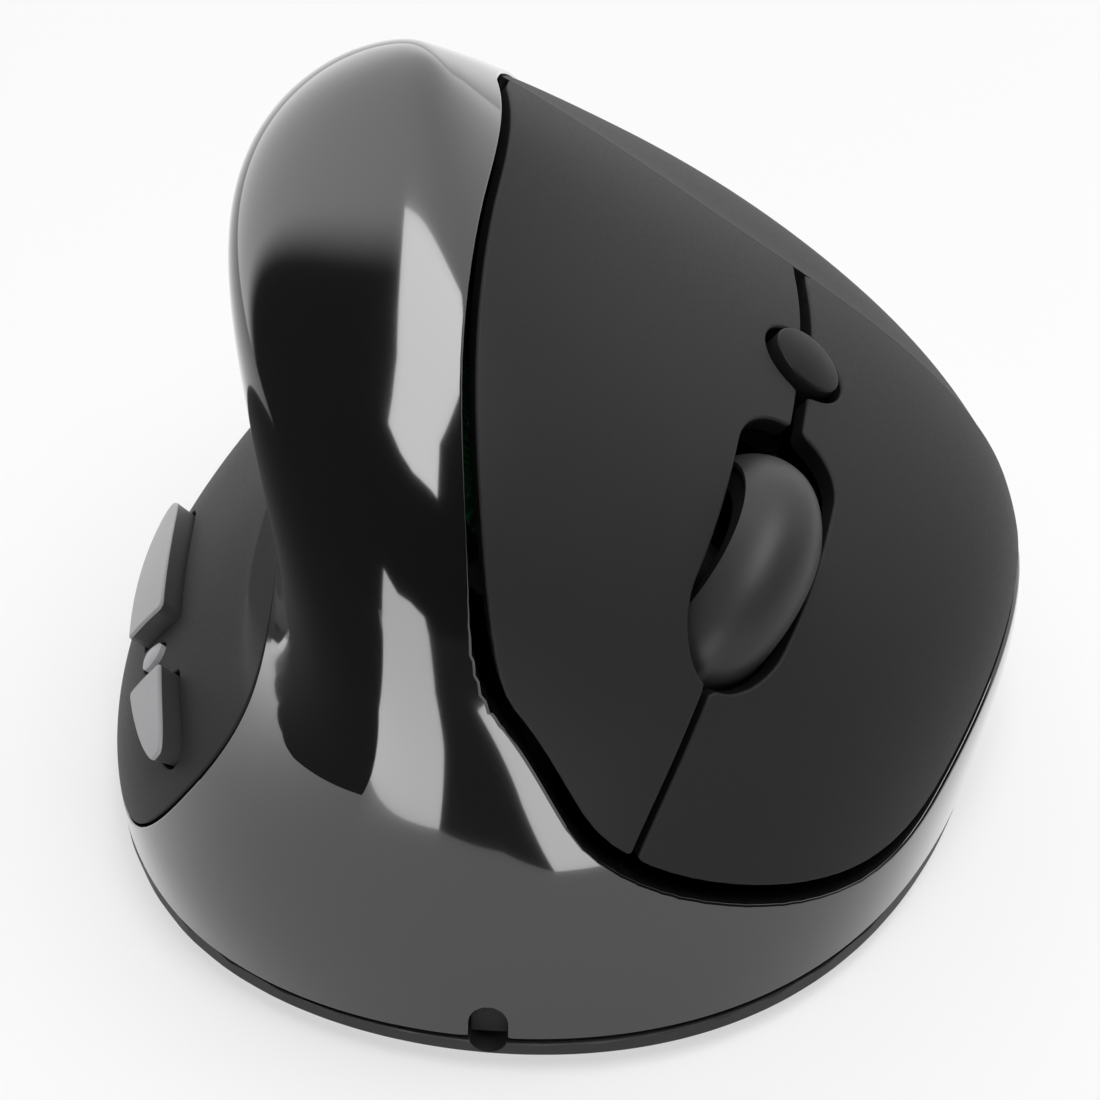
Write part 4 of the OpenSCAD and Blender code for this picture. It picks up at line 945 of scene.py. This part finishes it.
# Power slider
# A small knob of pale satin ABS on a slide switch, in a slot of the base, turns the mouse on and off.
# Two moulded ridges on it catch the nail.
KNOB_ROUND, NAIL_ROUND, NAIL_IN, NAIL_HALF, NAIL_PITCH, NAIL_Z = 0.3, 0.12, 0.5, 0.3, 1.6, (-0.3, 0.4)
low, high = (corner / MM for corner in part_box("power_slider"))
ridge_ys = [(low[1] + high[1] + k * NAIL_PITCH) / 2 for k in (-1, 1)]
knob = boxed_piece("power_slider_knob", [(low, high, KNOB_ROUND, 0)] + [
    ((low[0] + NAIL_IN, y - NAIL_HALF, low[2] + NAIL_Z[0]),
     (high[0] - NAIL_IN, y + NAIL_HALF, low[2] + NAIL_Z[1]), NAIL_ROUND, 0) for y in ridge_ys],
    (satin_abs("satin_white_abs", "#c9c9cb"),))
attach(knob, "power_slider")
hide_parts("power_slider")

# Inner works
# The boards, switches, cell, contacts and frame keep the CAD model's shapes and get their real finishes:
# filled nylon, glass-epoxy, printed steel, acrylic and rubber. Little of them shows through the gaps.
TRACK, WEAVE = 3.846, 0.833


# Glass-epoxy board under solder mask: glossy green over a woven base, with paler copper tracks beneath.
def solder_mask():
    material, tree, place = start_material("solder_mask_on_epoxy")
    track = add(tree, "ShaderNodeTexBrick",
                {"Scale": 1 / (TRACK * MM), "Mortar Size": 0.03, "Color1": srgb("#12402a"),
                 "Color2": srgb("#0f3824"), "Mortar": srgb("#2a6a45")}, Vector=place)
    weave = add(tree, "ShaderNodeTexNoise", {"Scale": 1 / (WEAVE * MM), "Detail": 2.0}, Vector=place)
    rough = add(tree, "ShaderNodeMapRange", {"To Min": 0.22, "To Max": 0.36}, Value=weave.outputs["Fac"])
    bump = add(tree, "ShaderNodeBump", {"Strength": 0.08, "Distance": 0.04 * MM}, Height=track.outputs["Fac"])
    shader = add(tree, "ShaderNodeBsdfPrincipled", {"IOR": 1.5}, Base_Color=track.outputs["Color"],
                 Roughness=rough.outputs["Result"], Normal=bump.outputs["Normal"])
    return finish_material(material, shader)


# Clear acrylic: moulded lens with polished faces and a trace of flow haze.
clear_acrylic = grained("clear_acrylic", "#e8ebee", (3.333, 2.0), (0.03, 0.09), None, None,
                        {"IOR": 1.49, "Transmission Weight": 1.0})

# Moulded rubber, nylon and acetal: dull and dark, but for red plungers. The cell's can is a coppery satin.
finishes = {
    "black_trim": satin_abs("matt_black_rubber", "#0a0a0b", 0.55, 0.7, 0.6, 0.3),
    "frame": satin_abs("filled_black_nylon", "#0d0d0e", 0.5, 0.62, 0.7, 0.25),
    "hub": satin_abs("satin_hub_acetal", "#121213", 0.4, 0.5, 0.5, 0.3),
    "switch_case": satin_abs("moulded_switch_nylon", "#0e0e10", 0.45, 0.6, 0.5, 0.3),
    "plunger": satin_abs("red_switch_acetal", "#7a2a26", 0.35, 0.5),
    "cell": plated_steel("printed_steel_can", "#a8763a", 0.25, 0.36),
    "metal": screw_steel,
    "circuit_board": solder_mask(),
    "sensor_lens": clear_acrylic,
}
for part in frame["record"]["subparts"]:
    finish = finishes.get(part["material_slot"])
    if finish:
        for holder in nodes[part["node"]].material_slots:
            holder.material = finish

# Studio
# A white table with a large soft box above and a smaller one low in front. Flat cards round the body
# shape what its gloss mirrors, and a bright wall stands behind.
CENTRE = Vector((-1.5, -7, 20)) * MM
AZIMUTH, ELEVATION, DISTANCE = math.radians(5), math.radians(36.5), 0.48
toward = Vector((math.sin(AZIMUTH) * math.cos(ELEVATION), -math.cos(AZIMUTH) * math.cos(ELEVATION),
                 math.sin(ELEVATION)))
camera = bpy.data.objects.new("camera", bpy.data.cameras.new("camera"))
camera.data.lens, camera.data.sensor_width = 172.8, 36.0
camera.data.clip_start, camera.data.clip_end = 0.01, 50.0
camera.location = CENTRE + DISTANCE * toward
camera.rotation_euler = (-toward).to_track_quat("-Z", "Y").to_euler()
scene.collection.objects.link(camera)
scene.camera = camera


def soft_box(name, at, look, size, power):
    data = bpy.data.lights.new(name, "AREA")
    data.shape, data.size, data.size_y, data.energy = "RECTANGLE", size[0], size[1], power
    lamp = bpy.data.objects.new(name, data)
    lamp.location = at
    lamp.rotation_euler = (Vector(look) - Vector(at)).to_track_quat("-Z", "Y").to_euler()
    lamp.visible_camera = lamp.visible_glossy = False
    scene.collection.objects.link(lamp)


soft_box("top_box", (0.255, -0.235, 1.0), (0.255, -0.235, 0), (0.53, 1.01), 11)
soft_box("front_strip", (-0.12, -0.7, 0.13), (0, -0.05, 0.03), (0.3, 0.3), 1.4)


# Black and white cards, which only the gloss sees.
def card(name, corners, light):
    mesh = bpy.data.meshes.new(name)
    mesh.from_pydata([tuple(c * MM for c in corner) for corner in corners], [], [list(range(len(corners)))])
    panel = new_piece(name, mesh)
    material, tree = start_material(name)[:2]
    mesh.materials.append(finish_material(material, add(tree, "ShaderNodeEmission", {"Strength": light})))
    panel.visible_camera = panel.visible_diffuse = panel.visible_shadow = panel.visible_transmission = False


SIDE_CARD_Z, FRONT_CARD_Z, STRIP_CARD_Y, TOP_CARD_Z = 26, 16, -700, 1000
card("black_card_side", [(x, y, SIDE_CARD_Z) for x, y in (
    (-12, -45), (-20, -46.3), (-23.5, -43.5), (-26.6, -39.3), (-27.8, -35), (-28.2, -31), (-27.6, -27),
    (-26.4, -21), (-25, -15), (-25, 0), (-3900, 0), (-3900, -3900),
    (-1680, -3900), (-46, -130), (-20.9, -62.5), (-15, -53.5), (-13, -50))], 0.06)
card("black_card_front", [(x, y, FRONT_CARD_Z) for x, y in (
    (-9, -65.5), (0, -64), (5.5, -60.5), (5, -70), (8, -101), (50, -160), (1500, -3900), (300, -3900),
    (25, -528), (-7, -108), (-7.5, -79))], 0.08)
card("white_card_front", [(x, y, FRONT_CARD_Z) for x, y in (
    (-26, -64), (-9, -65.5), (-7.5, -79), (-7, -108), (25, -528), (38, -699), (-268, -699),
    (-69, -184), (-31, -75))], 4.5)
card("white_card_right", [(x, y, FRONT_CARD_Z) for x, y in (
    (5.5, -60.5), (12, -60), (14, -110), (8, -101), (5, -70))], 5.0)
card("white_card_strip", [(x, STRIP_CARD_Y, z) for x, z in (
    (-268, 0), (-196, 263), (-109, 168), (-32, 149), (39, 98), (38, 0))], 4.5)
card("white_card_top", [(x, y, TOP_CARD_Z) for x, y in (
    (-10, 270), (520, 270), (520, 0), (400, -250), (330, -400), (379, -825), (299, -761), (116, -652),
    (9, -532), (-78, -377), (-40, -250), (-10, -100))], 6.5)

# The room: a bright wall fills the back half, and the rest stays dark.
WALL_START, WALL_FULL, WALL_LIGHT, ROOM_LIGHT, WALL_LEFT, WALL_RIGHT = 0.16, 0.30, 1.9, 0.05, 1.45, 0.55
scene.world = world = bpy.data.worlds.new("studio")
world.use_nodes = True
tree = world.node_tree
tree.nodes.clear()
way = add(tree, "ShaderNodeSeparateXYZ", Vector=add(tree, "ShaderNodeTexCoord").outputs["Generated"])
wall = add(tree, "ShaderNodeMapRange",
           {"interpolation_type": "SMOOTHSTEP", "From Min": WALL_START, "From Max": WALL_FULL,
            "To Min": ROOM_LIGHT, "To Max": WALL_LIGHT}, Value=way.outputs["Y"])
fall = add(tree, "ShaderNodeMapRange",
           {"From Min": -1.0, "From Max": 1.0, "To Min": WALL_LEFT, "To Max": WALL_RIGHT},
           Value=way.outputs["X"])
light = add(tree, "ShaderNodeMath", {"operation": "MULTIPLY"}, i0=wall.outputs["Result"],
            i1=fall.outputs["Result"])
room = add(tree, "ShaderNodeBackground", Strength=light.outputs[0])
add(tree, "ShaderNodeOutputWorld", Surface=room.outputs[0])

# A white table; what is seen of it, straight or mirrored, is part its own shade and part plain white.
table = bpy.data.meshes.new("table")
TABLE_HALF, WHITE_SHARE = 4.0, 0.6
table.from_pydata([(x * TABLE_HALF, y * TABLE_HALF, 0) for x, y in ((-1, -1), (1, -1), (1, 1), (-1, 1))], [],
                  [[0, 1, 2, 3]])
floor = new_piece("table", table)
material, tree = start_material("white_table")[:2]
path = add(tree, "ShaderNodeLightPath")
seen = path.outputs["Is Camera Ray"]
for ray in ("Is Glossy Ray", "Is Transmission Ray"):
    seen = add(tree, "ShaderNodeMath", {"operation": "MAXIMUM"}, i0=seen, i1=path.outputs[ray]).outputs[0]
share = add(tree, "ShaderNodeMath", {"operation": "MULTIPLY", 1: WHITE_SHARE}, i0=seen)
paper = add(tree, "ShaderNodeBsdfDiffuse", {"Color": srgb("#dadada")})
white = add(tree, "ShaderNodeEmission", {"Color": srgb("#ffffff"), "Strength": 1.0})
shader = add(tree, "ShaderNodeMixShader", Fac=share.outputs[0], i1=paper.outputs[0], i2=white.outputs[0])
table.materials.append(finish_material(material, shader))

scene.view_settings.view_transform = "Standard"
